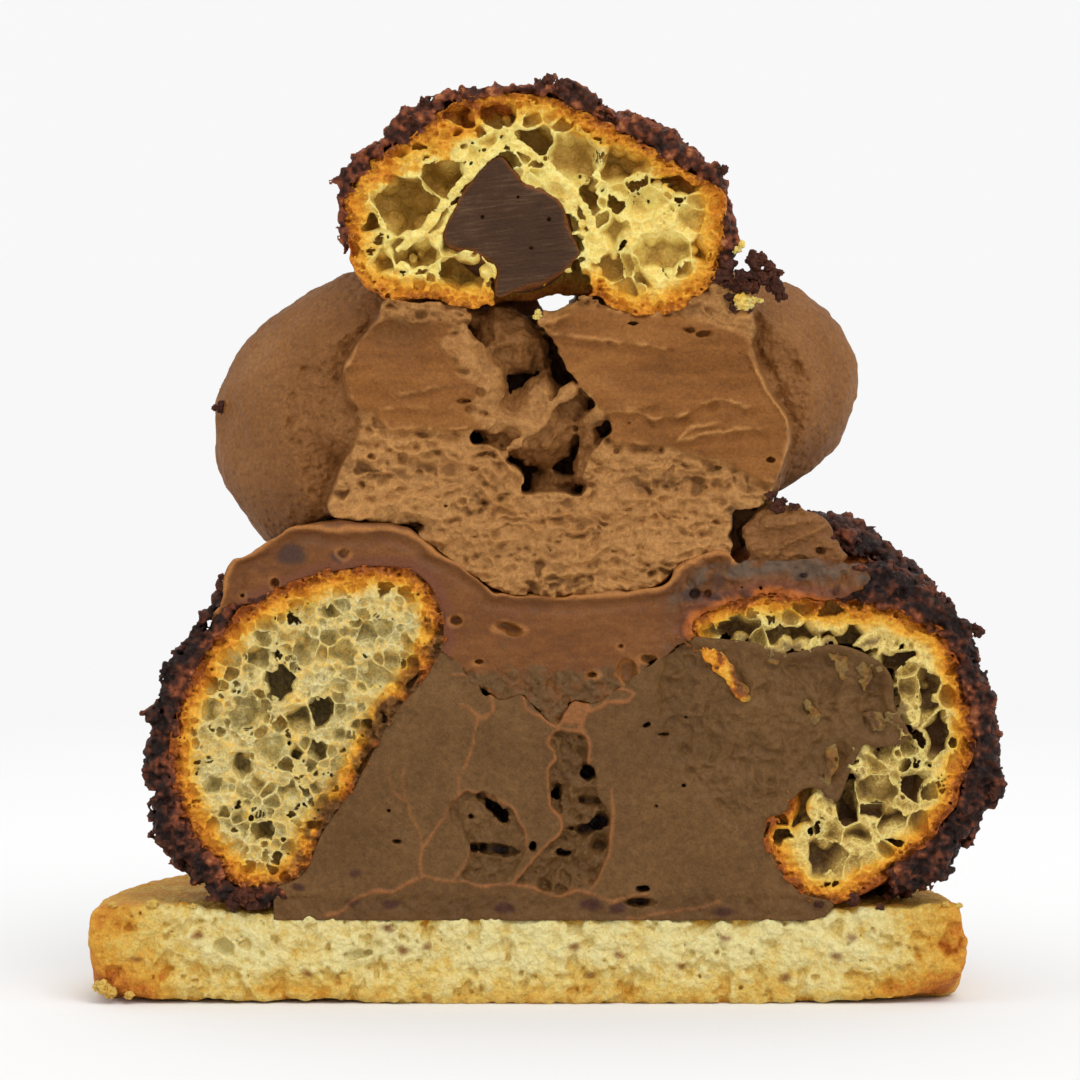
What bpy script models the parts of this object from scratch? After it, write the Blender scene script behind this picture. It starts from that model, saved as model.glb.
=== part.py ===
"""Half of a chocolate saint-honore cake, cut down the middle, with the flat cut side facing -Y.

A shortbread biscuit carries a ring of choux puffs with cocoa craquelin, a chocolate filling between
them, a layer of milk chocolate cream over them, a crown of piped whipped cream, and one more puff on
top with a ganache core. Sizes are in metres, +Z is up, and the origin is under the middle of the
footprint.
"""

import math
from dataclasses import dataclass

import bmesh
import bpy
from mathutils import Vector, noise

# Driving dimensions.
GAP = 0.0003  # kept between pieces that touch
CUT_Y = -0.0225  # the plane of the cut
AXIS = Vector((0.0005, -0.0175))  # the middle of the uncut cake
BISCUIT_X = -0.0016
BISCUIT_RADIUS = 0.0398
BISCUIT_THICKNESS = 0.0088
BISCUIT_EDGE = 0.0014  # rounding of the biscuit's rims
CRUST = 0.0021  # thickness of the craquelin
CRUST_LUMPS = 0.0004  # how far its bumps stand out
FILLING_RADIUS = 0.0240
FILLING_TOP = 0.0292
LAYER_TILT = math.radians(4.2)  # the cream layer leans down to the right
SWIRL_REACH = 0.0155  # from the cake's middle to a petal's middle
FLOOR_Z = BISCUIT_THICKNESS + GAP
BIG = 0.2  # larger than the cake, for the cutters
BALL_STEPS = 3


@dataclass
class Lump:
    """A rounded, uneven form: its half sizes are taken along its own long, deep and short directions."""

    centre: tuple
    half: tuple
    lean: float = 0.0  # turn about Y, in degrees, taken first
    tip: float = 0.0  # turn about X, taken second
    turn: float = 0.0  # turn about Z, taken last
    full: float = 2.0  # over 2 is boxier, under 2 is more pointed
    keel: float = 2.0  # under 2 pinches the rim that faces away from the deep direction
    under: float = 1.0  # share of the short half size that is left below the middle
    uneven: float = 0.03
    seed: float = 0.0


@dataclass
class Puff:
    """A choux puff, and where its craquelin starts: the side that it faces, and the step to its edge."""

    form: Lump
    facing: tuple
    start: float


PUFFS = {
    "left": Puff(
        Lump((-0.0216, -0.0195, 0.0254), (0.0166, 0.0160, 0.0105), lean=-60, full=2.2, under=0.88, seed=1),
        facing=(-0.98, 0.0, 0.17),
        start=0.0012,
    ),
    "right": Puff(
        Lump((0.0240, -0.0150, 0.0259), (0.0185, 0.0143, 0.0145), lean=68, tip=-38, full=2.2, seed=2),
        facing=(0.88, 0.42, 0.20),
        start=0.0012,
    ),
    "back": Puff(
        Lump(
            (0.001, 0.0082, 0.0242),
            (0.016, 0.0158, 0.0124),
            lean=-90,
            turn=-90,
            full=2.2,
            under=0.85,
            seed=3,
        ),
        facing=(0.0, 0.98, 0.21),
        start=0.0005,
    ),
    "top": Puff(
        Lump((-0.0005, -0.0217, 0.0716), (0.0169, 0.0166, 0.0104), lean=2, full=2.1, under=0.86, seed=4),
        facing=(-0.03, 0.0, 1.0),
        start=-0.0032,
    ),
}
LOWER_PUFFS = ("left", "right", "back")
# What fills the right puff, the core in the top one, the torn flake, and the whipped cream's middle.
POCKET = Lump((0.0215, CUT_Y, 0.0262), (0.0104, 0.0095, 0.0066), lean=-8, full=2.3, uneven=0.08, seed=5)
CORE = Lump((-0.0030, -0.0221, 0.0704), (0.0062, 0.0058, 0.0058), lean=25, full=2.3, uneven=0.06, seed=6)
FLAKE = Lump((0.0228, -0.0213, 0.0431), (0.0047, 0.0030, 0.0022), lean=18, full=2.6, uneven=0.08, seed=7)
HEART = Lump((0.0015, -0.0165, 0.0510), (0.0205, 0.0150, 0.0150), full=2.3, uneven=0.02, seed=8)
CAVITY = Lump((-0.0012, CUT_Y, 0.0545), (0.0068, 0.0062, 0.0038), lean=78, full=2.2, uneven=0.05, seed=9)
# The piped petals: degrees round the cake from +X, height, half sizes, and how far the tip hangs.
PETALS = (
    (166, 0.0528, (0.0170, 0.0104, 0.0142), 15),
    (115, 0.0542, (0.0145, 0.0095, 0.0128), 4),
    (65, 0.0550, (0.0140, 0.0098, 0.0124), 0),
    (12, 0.0560, (0.0138, 0.0100, 0.0110), 0),
)
PETAL_KEEL = 1.45
# Distance from the cake's middle, and height, along the top of the cream layer.
LAYER_TOP = ((0.0, 0.0374), (0.0070, 0.0376), (0.0115, 0.0390), (0.0150, 0.0418), (0.0185, 0.0430))
LAYER_EDGE = ((0.0225, 0.0426), (0.0262, 0.0410), (0.0292, 0.0386), (0.0296, 0.0372), (0.0284, 0.0364))
LAYER_UNDER = ((0.0180, 0.0330), (0.0140, FILLING_TOP + GAP), (0.0, FILLING_TOP + GAP))
TUNNEL = Vector((0.0010, 0.0, 0.0637))
TUNNEL_RADIUS = 0.0016

# Colour, and roughness.
FINISHES = {
    "biscuit": ((0.58, 0.40, 0.12), 0.85),
    "crumb": ((0.58, 0.43, 0.13), 0.75),
    "craquelin": ((0.10, 0.045, 0.022), 0.80),
    "filling": ((0.15, 0.070, 0.028), 0.55),
    "layer": ((0.19, 0.075, 0.026), 0.45),
    "cream": ((0.27, 0.115, 0.037), 0.60),
    "core": ((0.082, 0.037, 0.017), 0.45),
}


def clear_scene():
    for obj in list(bpy.data.objects):
        bpy.data.objects.remove(obj)


def collection(name):
    made = bpy.data.collections.new(name)
    bpy.context.scene.collection.children.link(made)
    return made


def finish(name):
    made = bpy.data.materials.get(name)
    if made is None:
        made = bpy.data.materials.new(name)
        made.use_nodes = True
        shader = made.node_tree.nodes["Principled BSDF"]
        colour, roughness = FINISHES[name]
        shader.inputs["Base Color"].default_value = (*colour, 1.0)
        shader.inputs["Roughness"].default_value = roughness
        shader.inputs["Metallic"].default_value = 0.0
    return made


def add_object(name, mesh, home, finish_name=None):
    made = bpy.data.objects.new(name, mesh)
    home.objects.link(made)
    if finish_name:
        mesh.materials.append(finish(finish_name))
    else:
        made.hide_render = True
        made.display_type = "WIRE"
    return made


def boolean(obj, other, operation="DIFFERENCE"):
    modifier = obj.modifiers.new(f"{operation.lower()}_{other.name}", "BOOLEAN")
    modifier.object = other
    modifier.operation = operation
    modifier.solver = "EXACT"


def shaped(direction, form, grow, lumps):
    """The point of a lump's surface in one direction, pushed out by grow, with lumps of its own on it."""
    x, y, z = (abs(part) for part in direction)
    rim = (x**form.full + z**form.full) ** (1 / form.full)
    reach = (rim**form.keel + y**form.keel) ** (-1 / form.keel)
    bumps = 1 + form.uneven * noise.noise(direction * 2.1 + Vector((form.seed * 7.3, 0, 0)))
    short = form.half[2] * (form.under if direction.z < 0 else 1.0)
    half = Vector((form.half[0], form.half[1], short))
    outward = Vector(part / size for part, size in zip(direction, half)).normalized()
    rise = grow + lumps * noise.noise(direction * 6.5 + Vector((0, form.seed * 5.1, 0)))
    return Vector(part * size for part, size in zip(direction, half)) * reach * bumps + outward * rise


def lump(name, form, home, finish_name=None, grow=0.0, lumps=0.0):
    """A ball drawn out to a lump's form, in place."""
    mesh = bpy.data.meshes.new(name)
    ball = bmesh.new()
    bmesh.ops.create_icosphere(ball, subdivisions=BALL_STEPS, radius=1.0)
    for vert in ball.verts:
        vert.co = shaped(vert.co.normalized(), form, grow, lumps)
    ball.to_mesh(mesh)
    ball.free()
    mesh.shade_smooth()
    made = add_object(name, mesh, home, finish_name)
    made.location = form.centre
    made.rotation_mode = "YXZ"
    made.rotation_euler = [math.radians(angle) for angle in (form.tip, form.lean, form.turn)]
    return made


def box(name, low, high, home):
    """A box between two corners, for cutting."""
    mesh = bpy.data.meshes.new(name)
    cube = bmesh.new()
    bmesh.ops.create_cube(cube, size=1.0)
    cube.to_mesh(mesh)
    cube.free()
    made = add_object(name, mesh, home)
    made.location = [(a + b) / 2 for a, b in zip(low, high)]
    made.scale = [b - a for a, b in zip(low, high)]
    return made


def cylinder(name, radius, depth, centre, home, steps, finish_name=None):
    mesh = bpy.data.meshes.new(name)
    drum = bmesh.new()
    bmesh.ops.create_cone(drum, cap_ends=True, segments=steps, radius1=radius, radius2=radius, depth=depth)
    drum.to_mesh(mesh)
    drum.free()
    made = add_object(name, mesh, home, finish_name)
    made.location = centre
    return made


def turned(name, profile, home, finish_name=None, steps=48):
    """A profile of (distance, height) points turned about the cake's middle."""
    mesh = bpy.data.meshes.new(name)
    points = [(radius, 0.0, height) for radius, height in profile]
    mesh.from_pydata(points, [(i, i + 1) for i in range(len(points) - 1)], [])
    made = add_object(name, mesh, home, finish_name)
    made.location = (AXIS.x, AXIS.y, 0.0)
    screw = made.modifiers.new("turn", "SCREW")
    screw.axis = "Z"
    screw.steps = screw.render_steps = steps
    screw.use_merge_vertices = True
    screw.merge_threshold = 0.0001
    screw.use_smooth_shade = True
    return made


def stop(name, puff, start, home):
    """A box over the side of a puff that its craquelin leaves bare."""
    facing = Vector(puff.facing).normalized()
    made = box(name, (-BIG, -BIG, -BIG), (BIG, BIG, 0), home)
    made.rotation_euler = facing.to_track_quat("Z", "Y").to_euler()
    made.location = Vector(puff.form.centre) + facing * (start - BIG / 2)
    return made


def make_cutters(home):
    """What cuts several pieces: the knife's side, the biscuit's top, each puff, and its craquelin."""
    cutters = {
        "front": box("front_cutter", (-BIG, CUT_Y - BIG, -BIG), (BIG, CUT_Y, BIG), home),
        "below": box("below_cutter", (-BIG, -BIG, -BIG), (BIG, BIG, FLOOR_Z), home),
    }
    for side, puff in PUFFS.items():
        cutters[f"puff_{side}"] = lump(f"puff_{side}_cutter", puff.form, home, grow=GAP)
        cap = lump(f"cap_{side}_cutter", puff.form, home, grow=CRUST + GAP, lumps=CRUST_LUMPS)
        boolean(cap, stop(f"cap_{side}_stop", puff, puff.start - GAP, home))
        cutters[f"cap_{side}"] = cap
    tunnel = cylinder("tunnel_cutter", TUNNEL_RADIUS, BIG, TUNNEL, home, 16)
    tunnel.rotation_euler = (math.radians(90), 0, 0)
    cutters["tunnel"] = tunnel
    return cutters


def make_biscuit(home, cutters):
    centre = (BISCUIT_X, AXIS.y, BISCUIT_THICKNESS / 2)
    biscuit = cylinder("biscuit_base", BISCUIT_RADIUS, BISCUIT_THICKNESS, centre, home, 72, "biscuit")
    rims = biscuit.modifiers.new("rims", "BEVEL")
    rims.width = BISCUIT_EDGE
    rims.segments = 2
    rims.limit_method = "ANGLE"
    rims.angle_limit = math.radians(40)
    boolean(biscuit, cutters["front"])


def make_puffs(home, cutters, tools):
    """The choux puffs: two cut ones at the sides, a whole one behind and a cut one on top."""
    for side in LOWER_PUFFS:
        puff = lump(f"choux_{side}", PUFFS[side].form, home, "crumb")
        boolean(puff, cutters["below"])
        boolean(puff, cutters["front"])
        if side == "right":
            boolean(puff, lump("pocket_cutter", POCKET, tools, grow=GAP))
    top = lump("choux_top", PUFFS["top"].form, home, "crumb")
    for cutter in (cutters["front"], lump("core_cutter", CORE, tools, grow=GAP), cutters["tunnel"]):
        boolean(top, cutter)
    core = lump("ganache_core", CORE, home, "core")
    boolean(core, cutters["front"])
    boolean(core, cutters["tunnel"])


def make_craquelin(home, cutters, tools):
    """The cocoa crust on the dome of each puff: a lumpy shell that stops at a plane across the puff."""
    for side, puff in PUFFS.items():
        shell = lump(f"craquelin_{side}", puff.form, home, "craquelin", grow=CRUST, lumps=CRUST_LUMPS)
        boolean(shell, cutters[f"puff_{side}"])
        boolean(shell, stop(f"stop_{side}_cutter", puff, puff.start, tools))
        boolean(shell, cutters["front"])
        if side in LOWER_PUFFS:
            boolean(shell, cutters["below"])


def make_filling(home, cutters, tools):
    profile = (
        (0.0, FILLING_TOP + 0.003),
        (FILLING_RADIUS * 0.78, FILLING_TOP + 0.003),
        (FILLING_RADIUS * 0.95, FILLING_TOP - 0.005),
        (FILLING_RADIUS, FLOOR_Z + 0.004),
        (FILLING_RADIUS * 0.98, FLOOR_Z),
        (0.0, FLOOR_Z),
    )
    filling = turned("chocolate_filling", profile, home, "filling")
    ceiling = [(radius, height - GAP) for radius, height in LAYER_UNDER]
    ceiling = turned("ceiling_cutter", ((0.0, BIG), (LAYER_EDGE[-1][0], BIG), *ceiling), tools)
    ceiling.rotation_euler = (0, LAYER_TILT, 0)
    boolean(filling, ceiling)
    for side in LOWER_PUFFS:
        boolean(filling, cutters[f"puff_{side}"])
    # It runs on into the right puff.
    boolean(filling, lump("pocket_fill", POCKET, tools), "UNION")
    boolean(filling, cutters["front"])
    boolean(filling, cutters["below"])


def make_layer(home, cutters, tools):
    """The cream layer, and the solid under its top that shapes the whipped cream's underside."""
    layer = turned("milk_cream_layer", (*LAYER_TOP, *LAYER_EDGE, *LAYER_UNDER), home, "layer")
    raised = [(radius, height + GAP) for radius, height in LAYER_TOP]
    raised += [(radius + GAP, height + GAP) for radius, height in LAYER_EDGE]
    bowl = turned("bowl_cutter", (*raised, (LAYER_EDGE[-1][0], 0.02), (0.0, 0.02)), tools)
    for piece in (layer, bowl):
        piece.rotation_euler = (0, LAYER_TILT, 0)
    for side in LOWER_PUFFS:
        boolean(layer, cutters[f"puff_{side}"])
        boolean(layer, cutters[f"cap_{side}"])
    boolean(layer, cutters["front"])
    return bowl


def make_swirl(home, cutters, tools, bowl):
    """The whipped cream: a heart with four petals round its back, moulded to what it rests on."""
    swirl = lump("whipped_cream", HEART, home, "cream")
    for number, (angle, height, half, hang) in enumerate(PETALS):
        heading = math.radians(angle)
        x = AXIS.x + SWIRL_REACH * math.cos(heading)
        y = AXIS.y + SWIRL_REACH * math.sin(heading)
        form = Lump((x, y, height), half, lean=hang, turn=angle, keel=PETAL_KEEL, seed=20 + number)
        boolean(swirl, lump(f"petal_{number}", form, tools), "UNION")
    cavity = lump("cavity_cutter", CAVITY, tools)
    flake = lump("flake_cutter", FLAKE, tools, grow=GAP)
    for cutter in (cutters["front"], bowl, cavity, flake, cutters["tunnel"]):
        boolean(swirl, cutter)
    for side in PUFFS:
        boolean(swirl, cutters[f"puff_{side}"])
        boolean(swirl, cutters[f"cap_{side}"])


def make_flake(home, cutters, bowl):
    flake = lump("cream_flake", FLAKE, home, "cream")
    for cutter in (cutters["front"], bowl, cutters["puff_right"], cutters["cap_right"]):
        boolean(flake, cutter)


def main():
    clear_scene()
    cake = collection("saint_honore_half")
    tools = collection("cutters")
    cutters = make_cutters(tools)
    make_biscuit(cake, cutters)
    make_puffs(cake, cutters, tools)
    make_craquelin(cake, cutters, tools)
    make_filling(cake, cutters, tools)
    bowl = make_layer(cake, cutters, tools)
    make_swirl(cake, cutters, tools, bowl)
    make_flake(cake, cutters, bowl)


main()
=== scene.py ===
"""How the cut saint-honore cake looks: its crumb, crusts, creams, crumbs and finishes.

Each piece starts from its CAD solid, read into a block of distances in millimetres, negative inside.
The block is drawn to the outline of the piece's cut face, carved and roughened, and becomes a mesh.
In a block x runs to the right, d goes back from the cut, and z goes up. Outlines and other places on
the cut are offsets from the middle of their node's box.
"""

import math
from dataclasses import dataclass

import bmesh
import bpy
import numpy as np
import openvdb
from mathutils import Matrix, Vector, noise
from mathutils.bvhtree import BVHTree


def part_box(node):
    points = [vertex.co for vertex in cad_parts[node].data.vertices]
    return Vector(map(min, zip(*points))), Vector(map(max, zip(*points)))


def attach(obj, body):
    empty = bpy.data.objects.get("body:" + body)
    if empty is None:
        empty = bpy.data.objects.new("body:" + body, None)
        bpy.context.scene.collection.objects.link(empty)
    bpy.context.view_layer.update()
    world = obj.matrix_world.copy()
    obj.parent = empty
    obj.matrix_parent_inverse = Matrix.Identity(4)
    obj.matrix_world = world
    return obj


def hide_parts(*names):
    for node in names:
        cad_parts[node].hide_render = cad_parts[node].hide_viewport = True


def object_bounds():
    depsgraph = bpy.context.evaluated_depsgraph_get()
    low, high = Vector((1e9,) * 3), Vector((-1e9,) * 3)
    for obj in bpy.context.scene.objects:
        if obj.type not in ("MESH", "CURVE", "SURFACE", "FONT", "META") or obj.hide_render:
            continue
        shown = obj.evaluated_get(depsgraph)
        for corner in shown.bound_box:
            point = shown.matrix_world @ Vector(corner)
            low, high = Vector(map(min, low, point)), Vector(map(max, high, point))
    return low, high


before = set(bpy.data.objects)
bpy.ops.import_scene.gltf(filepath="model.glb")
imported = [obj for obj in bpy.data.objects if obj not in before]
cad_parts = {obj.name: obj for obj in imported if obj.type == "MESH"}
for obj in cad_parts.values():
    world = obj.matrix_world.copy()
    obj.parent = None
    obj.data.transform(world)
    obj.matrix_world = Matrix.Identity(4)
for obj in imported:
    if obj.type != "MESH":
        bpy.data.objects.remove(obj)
cad_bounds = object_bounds()

MM = 0.001
CUT = cad_bounds[0][1] / MM  # where the cut face stands, along y
BAND = 3.0  # distances are known this far from a surface
PROUD = 1.0  # room kept in front of the cut
GROWTH = 1.08  # past its fine levels at the cut, each level of a block is so much thicker
COARSE = 0.5  # and no thicker than this
VOXEL = 0.45  # across a cell of the grid that a CAD solid is read into
GROWN = 0.1  # how far out a solid's surface is moved, for its outside to be roughened
CURVE_STEPS = 6  # straight stretches between two points of a smooth line
TABLE_SIZE = 32  # random values along each side of a lattice, before it repeats
SPECK = 400  # bodies with fewer vertices than this are left out
MOST_TRIANGLES = 190000  # in one piece
KEEP_FRONT = 4e-6  # what thinning costs more at the cut, for each metre of edge
THIN_LEVELS = 8
THIN_FROM = 2.0  # thinning is dearest this near to the cut
THIN_OVER = 6.0  # and over this further depth it becomes cheap


# --- Places and distances -------------------------------------------------------------------------


def middle(node):
    """The middle of a node's box, as x and z."""
    low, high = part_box(node)
    return np.array(((low.x + high.x) / 2, (low.z + high.z) / 2)) / MM


def ease(value):
    """0 below 0, 1 above 1, and a smooth rise between."""
    value = np.clip(value, 0.0, 1.0)
    return value * value * (3 - 2 * value)


class Block:
    """A grid of places round one node, finer near the cut."""

    def __init__(self, node, step=0.18, fine=4.0, margin=1.4):
        low, high = (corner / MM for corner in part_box(node))
        self.node = node
        self.step = step
        self.home = middle(node)
        self.x = np.arange(low.x - margin, high.x + margin, step)
        self.z = np.arange(max(low.z - margin, 0.0 - step), high.z + margin, step)
        depths = [low.y - CUT - PROUD]
        stride = step
        while depths[-1] < high.y - CUT + margin:
            if depths[-1] > low.y - CUT + fine:
                stride = min(stride * GROWTH, COARSE)
            depths.append(depths[-1] + stride)
        self.d = np.array(depths)
        self.face = np.meshgrid(self.x - self.home[0], self.z - self.home[1], indexing="ij")

    def sheet(self, flat):
        """A map of the cut face, ready to be combined with the whole block."""
        return flat[:, None, :].astype(np.float32)

    def back(self):
        """How far back each place is."""
        return self.d[None, :, None].astype(np.float32)


def between(axis, places):
    """For places along an axis, the step below each and its share of the way to the next."""
    at = np.clip(np.interp(places, axis, np.arange(len(axis))), 0, len(axis) - 1.001)
    low = at.astype(int)
    return low, (at - low).astype(np.float32)


def reread(values, axes, new_axes):
    """Values on one grid, read at the places of another."""
    for number, (axis, places) in enumerate(zip(axes, new_axes)):
        low, share = between(axis, places)
        shape = [1] * values.ndim
        shape[number] = -1
        share = share.reshape(shape)
        values = np.take(values, low, number) * (1 - share) + np.take(values, low + 1, number) * share
    return values


def read_at(values, axes, points):
    """Values of a grid at loose points, one column of points for each axis."""
    found = [between(axis, points[:, number]) for number, axis in enumerate(axes)]
    total = np.zeros(len(points), np.float32)
    for corner in range(2 ** len(axes)):
        place = []
        weight = np.ones(len(points), np.float32)
        for number, (low, share) in enumerate(found):
            upper = corner >> number & 1
            place.append(low + upper)
            weight = weight * (share if upper else 1 - share)
        total += values[tuple(place)] * weight
    return total


def solid(block):
    """The block's CAD piece as distances, its cut face drawn forward out of the way."""
    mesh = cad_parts[block.node].data
    points = np.empty(len(mesh.vertices) * 3)
    mesh.vertices.foreach_get("co", points)
    points = points.reshape(-1, 3) / MM
    points[:, 1] -= CUT
    on_cut = points[:, 1] < 0.02
    points[on_cut, 1] = -BAND
    mesh.calc_loop_triangles()
    corners = np.empty(len(mesh.loop_triangles) * 3, np.int32)
    mesh.loop_triangles.foreach_get("vertices", corners)
    grid = openvdb.FloatGrid.createLevelSetFromPolygons(
        points.astype(np.float32),
        triangles=corners.reshape(-1, 3),
        transform=openvdb.createLinearTransform(VOXEL),
        halfWidth=BAND / VOXEL,
    )
    low = np.floor(points.min(0) / VOXEL).astype(int) - 8
    high = np.ceil(points.max(0) / VOXEL).astype(int) + 8
    coarse = np.empty(high - low, np.float32)
    grid.copyToArray(coarse, ijk=tuple(int(part) for part in low))
    for number in (0, 1, 2, 0, 1, 2):
        coarse = (np.roll(coarse, 1, number) + coarse * 2 + np.roll(coarse, -1, number)) / 4
    axes = [np.arange(first, last) * VOXEL for first, last in zip(low, high)]
    return reread(coarse, axes, (block.x, block.d, block.z)).astype(np.float32) - GROWN


def curve(points, closed=True):
    """A smooth line through points."""
    points = np.array(points, float)
    count = len(points)
    if closed:
        padded = np.vstack((points[-1:], points, points[:2]))
    else:
        padded = np.vstack((points[:1], points, points[-1:]))
        count -= 1
    share = np.linspace(0, 1, CURVE_STEPS, endpoint=False)[:, None]
    pieces = []
    for number in range(count):
        a, b, c, d = padded[number : number + 4]
        pieces.append(
            b + share * (c - a) / 2 + share**2 * (a - 2.5 * b + 2 * c - d / 2)
            + share**3 * (1.5 * (b - c) + (d - a) / 2)
        )
    line = np.vstack(pieces)
    return line if closed else np.vstack((line, points[-1:]))


def from_line(face, points, closed=False):
    """How far each place of a face is from a smooth line."""
    line = curve(points, closed)
    ends = np.roll(line, -1, 0) if closed else line[1:]
    starts = line if closed else line[:-1]
    x, z = face
    nearest = np.full(x.shape, 1e6)
    for (ax, az), (bx, bz) in zip(starts, ends):
        wide, high = bx - ax, bz - az
        run = np.clip(((x - ax) * wide + (z - az) * high) / (wide**2 + high**2 + 1e-9), 0, 1)
        nearest = np.minimum(nearest, (x - ax - run * wide) ** 2 + (z - az - run * high) ** 2)
    return np.sqrt(nearest)


def outline(face, points):
    """Distance from a closed smooth outline, negative inside it."""
    line = curve(points)
    x, z = face
    inside = np.zeros(x.shape, bool)
    for (ax, az), (bx, bz) in zip(line, np.roll(line, -1, 0)):
        if az != bz:
            inside ^= ((az > z) != (bz > z)) & (x < (bx - ax) * (z - az) / (bz - az) + ax)
    return np.where(inside, -1.0, 1.0) * from_line(face, points, True)


# --- Unevenness ---------------------------------------------------------------------------------


def along(table, places, number):
    """A lattice of random values, read smoothly at places along one of its directions."""
    low = np.floor(places).astype(int)
    shape = [1] * table.ndim
    shape[number] = -1
    share = ease(places - low).astype(np.float32).reshape(shape)
    first = np.take(table, low % TABLE_SIZE, number)
    return first + (np.take(table, (low + 1) % TABLE_SIZE, number) - first) * share


def grain(axes, size, seed, stretch=(1, 1, 1)):
    """Smooth random values between -1 and 1 on a grid, with features about one size across."""
    random = np.random.default_rng(seed)
    table = random.uniform(-1, 1, (TABLE_SIZE,) * len(axes)).astype(np.float32)
    for number in (0, 2, 1) if len(axes) == 3 else (0, 1):
        table = along(table, axes[number] / (size * stretch[number]) + seed * 0.37, number)
    return table


def layers(axes, size, seed, count=4, fade=0.5, stretch=(1, 1, 1), pointed=False):
    """Random values in several sizes, each half of the last. Pointed ones crease where they cross 0."""
    total = 0.0
    for number in range(count):
        part = grain(axes, size / 2.03**number, seed + number, stretch)
        total = total + (abs(part) * 2 - 0.6 if pointed else part) * fade**number
    return total


def block_grain(block, size, seed, **how):
    """Layers of random values all through a block."""
    return layers((block.x, block.d, block.z), size, seed, **how)


def face_grain(block, size, seed, **how):
    """Layers of random values over a block's face."""
    return layers((block.x, block.z), size, seed, **how)


def wavy(block, size, amount, seed):
    """The block's face with its places shifted about, so that lines drawn on it wander."""
    x, z = block.face
    aside = face_grain(block, size, seed, count=2)
    upward = face_grain(block, size, seed + 9, count=2)
    return x + amount * aside, z + amount * upward


def bent(block, flat, size, amount, seed):
    """A map of the face with its places shifted about, so that nothing on it runs straight."""
    x, z = wavy(block, size, amount, seed)
    points = np.stack(((x + block.home[0]).ravel(), (z + block.home[1]).ravel()), 1)
    return read_at(flat.astype(np.float32), (block.x, block.z), points).reshape(flat.shape)


def cells(block, size, seed, count, uneven=0.5, flat=1.0, big=()):
    """Air cells or grains in the first levels of a block.

    Gives how far each place is from its cell's wall and from its cell's middle, and how deep that
    middle lies. Big cells are (x, z, half width, half height, depth) on the cut.
    """
    random = np.random.default_rng(seed)
    shifts = random.uniform(0.08, 0.92, (3,) + (TABLE_SIZE,) * 3).astype(np.float32)
    weights = (uneven * size * random.uniform(0, 1, (TABLE_SIZE,) * 3) ** 2).astype(np.float32)
    places = [block.x / size, block.d[:count] / (size * flat), block.z / size]
    bases = [np.floor(part).astype(int) for part in places]
    first = np.full(tuple(len(part) for part in places), 1e3, np.float32)
    second = first.copy()
    depth = np.zeros_like(first)
    for step in np.ndindex(3, 3, 3):
        own = [base + part - 1 for base, part in zip(bases, step)]
        at = np.ix_(*(part % TABLE_SIZE for part in own))
        squares = -1e-9
        for number in range(3):
            spread = [1, 1, 1]
            spread[number] = -1
            seat = own[number].astype(np.float32).reshape(spread) + shifts[number][at]
            squares = squares + (places[number].astype(np.float32).reshape(spread) - seat) ** 2
            if number == 1:
                seat_depth = seat * size * flat
        distance = np.sqrt(abs(squares)) * size - weights[at]
        closer = distance < first
        second = np.where(closer, first, np.minimum(second, distance))
        depth = np.where(closer, seat_depth, depth)
        first = np.where(closer, distance, first)
    for x, z, wide, high, deep in big:
        spans, (x, d, z) = window(block, (x, 0.2, z), max(wide, high) + 1.5, count)
        distance = (np.sqrt((x / wide) ** 2 + (d / deep) ** 2 + (z / high) ** 2) - 1) * min(wide, high)
        near = np.where(distance < 0, np.maximum(first[spans], 0.0), first[spans])
        closer = distance < near
        second[spans] = np.where(closer, near, np.minimum(second[spans], distance))
        depth[spans] = np.where(closer, 0.0, depth[spans])
        first[spans] = np.where(closer, distance, near)
    return (second - first) / 2, first, depth


def window(block, centre, reach, count=None):
    """The part of a block within reach of a centre, and the offsets from the centre there."""
    at = (centre[0] + block.home[0], centre[1], centre[2] + block.home[1])
    spans = []
    offsets = []
    for number, (axis, place) in enumerate(zip((block.x, block.d[:count], block.z), at)):
        low, high = np.searchsorted(axis, (place - reach, place + reach))
        spread = [1, 1, 1]
        spread[number] = -1
        spans.append(slice(low, high))
        offsets.append((axis[low:high] - place).astype(np.float32).reshape(spread))
    return tuple(spans), offsets


def stamp(block, field, centre, half, turn=0.0, add=False, blend=0.0, rough=None):
    """Carves one rounded hole out of a field, or adds one rounded lump to it."""
    spans, (x, d, z) = window(block, centre, max(half) + 1.0)
    cos, sin = math.cos(math.radians(turn)), math.sin(math.radians(turn))
    x, z = x * cos + z * sin, z * cos - x * sin
    distance = (np.sqrt((x / half[0]) ** 2 + (d / half[1]) ** 2 + (z / half[2]) ** 2) - 1) * min(half)
    if rough is not None:
        distance = distance + rough[spans]
    sign = 1 if add else -1
    field[spans] = sign * merged(sign * field[spans], distance, blend)


def merged(a, b, blend):
    """The union of two fields, with a fillet where they meet."""
    if blend <= 0:
        return np.minimum(a, b)
    overlap = np.maximum(blend - abs(a - b), 0)
    return np.minimum(a, b) - overlap**2 / (4 * blend)


def drawn_to(block, field, section, reach):
    """The field with its cut face moved to a section's outline, fading into the CAD shape behind."""
    at_cut = field[:, np.searchsorted(block.d, 0.0), :]
    pull = ease(1 - block.d / reach).astype(np.float32)[None, :, None]
    return field + pull * block.sheet(np.clip(section, -BAND, BAND) - at_cut)


def near_cut(block, depth):
    """1 near the cut, falling to 0 at a depth."""
    return ease(2 - block.back() / depth * 2)


def faced(block, field, relief):
    """The field cut off along its face, which dips by the relief."""
    return np.maximum(field, block.sheet(relief) - block.back())


# --- From blocks to pieces ------------------------------------------------------------------------


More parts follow.
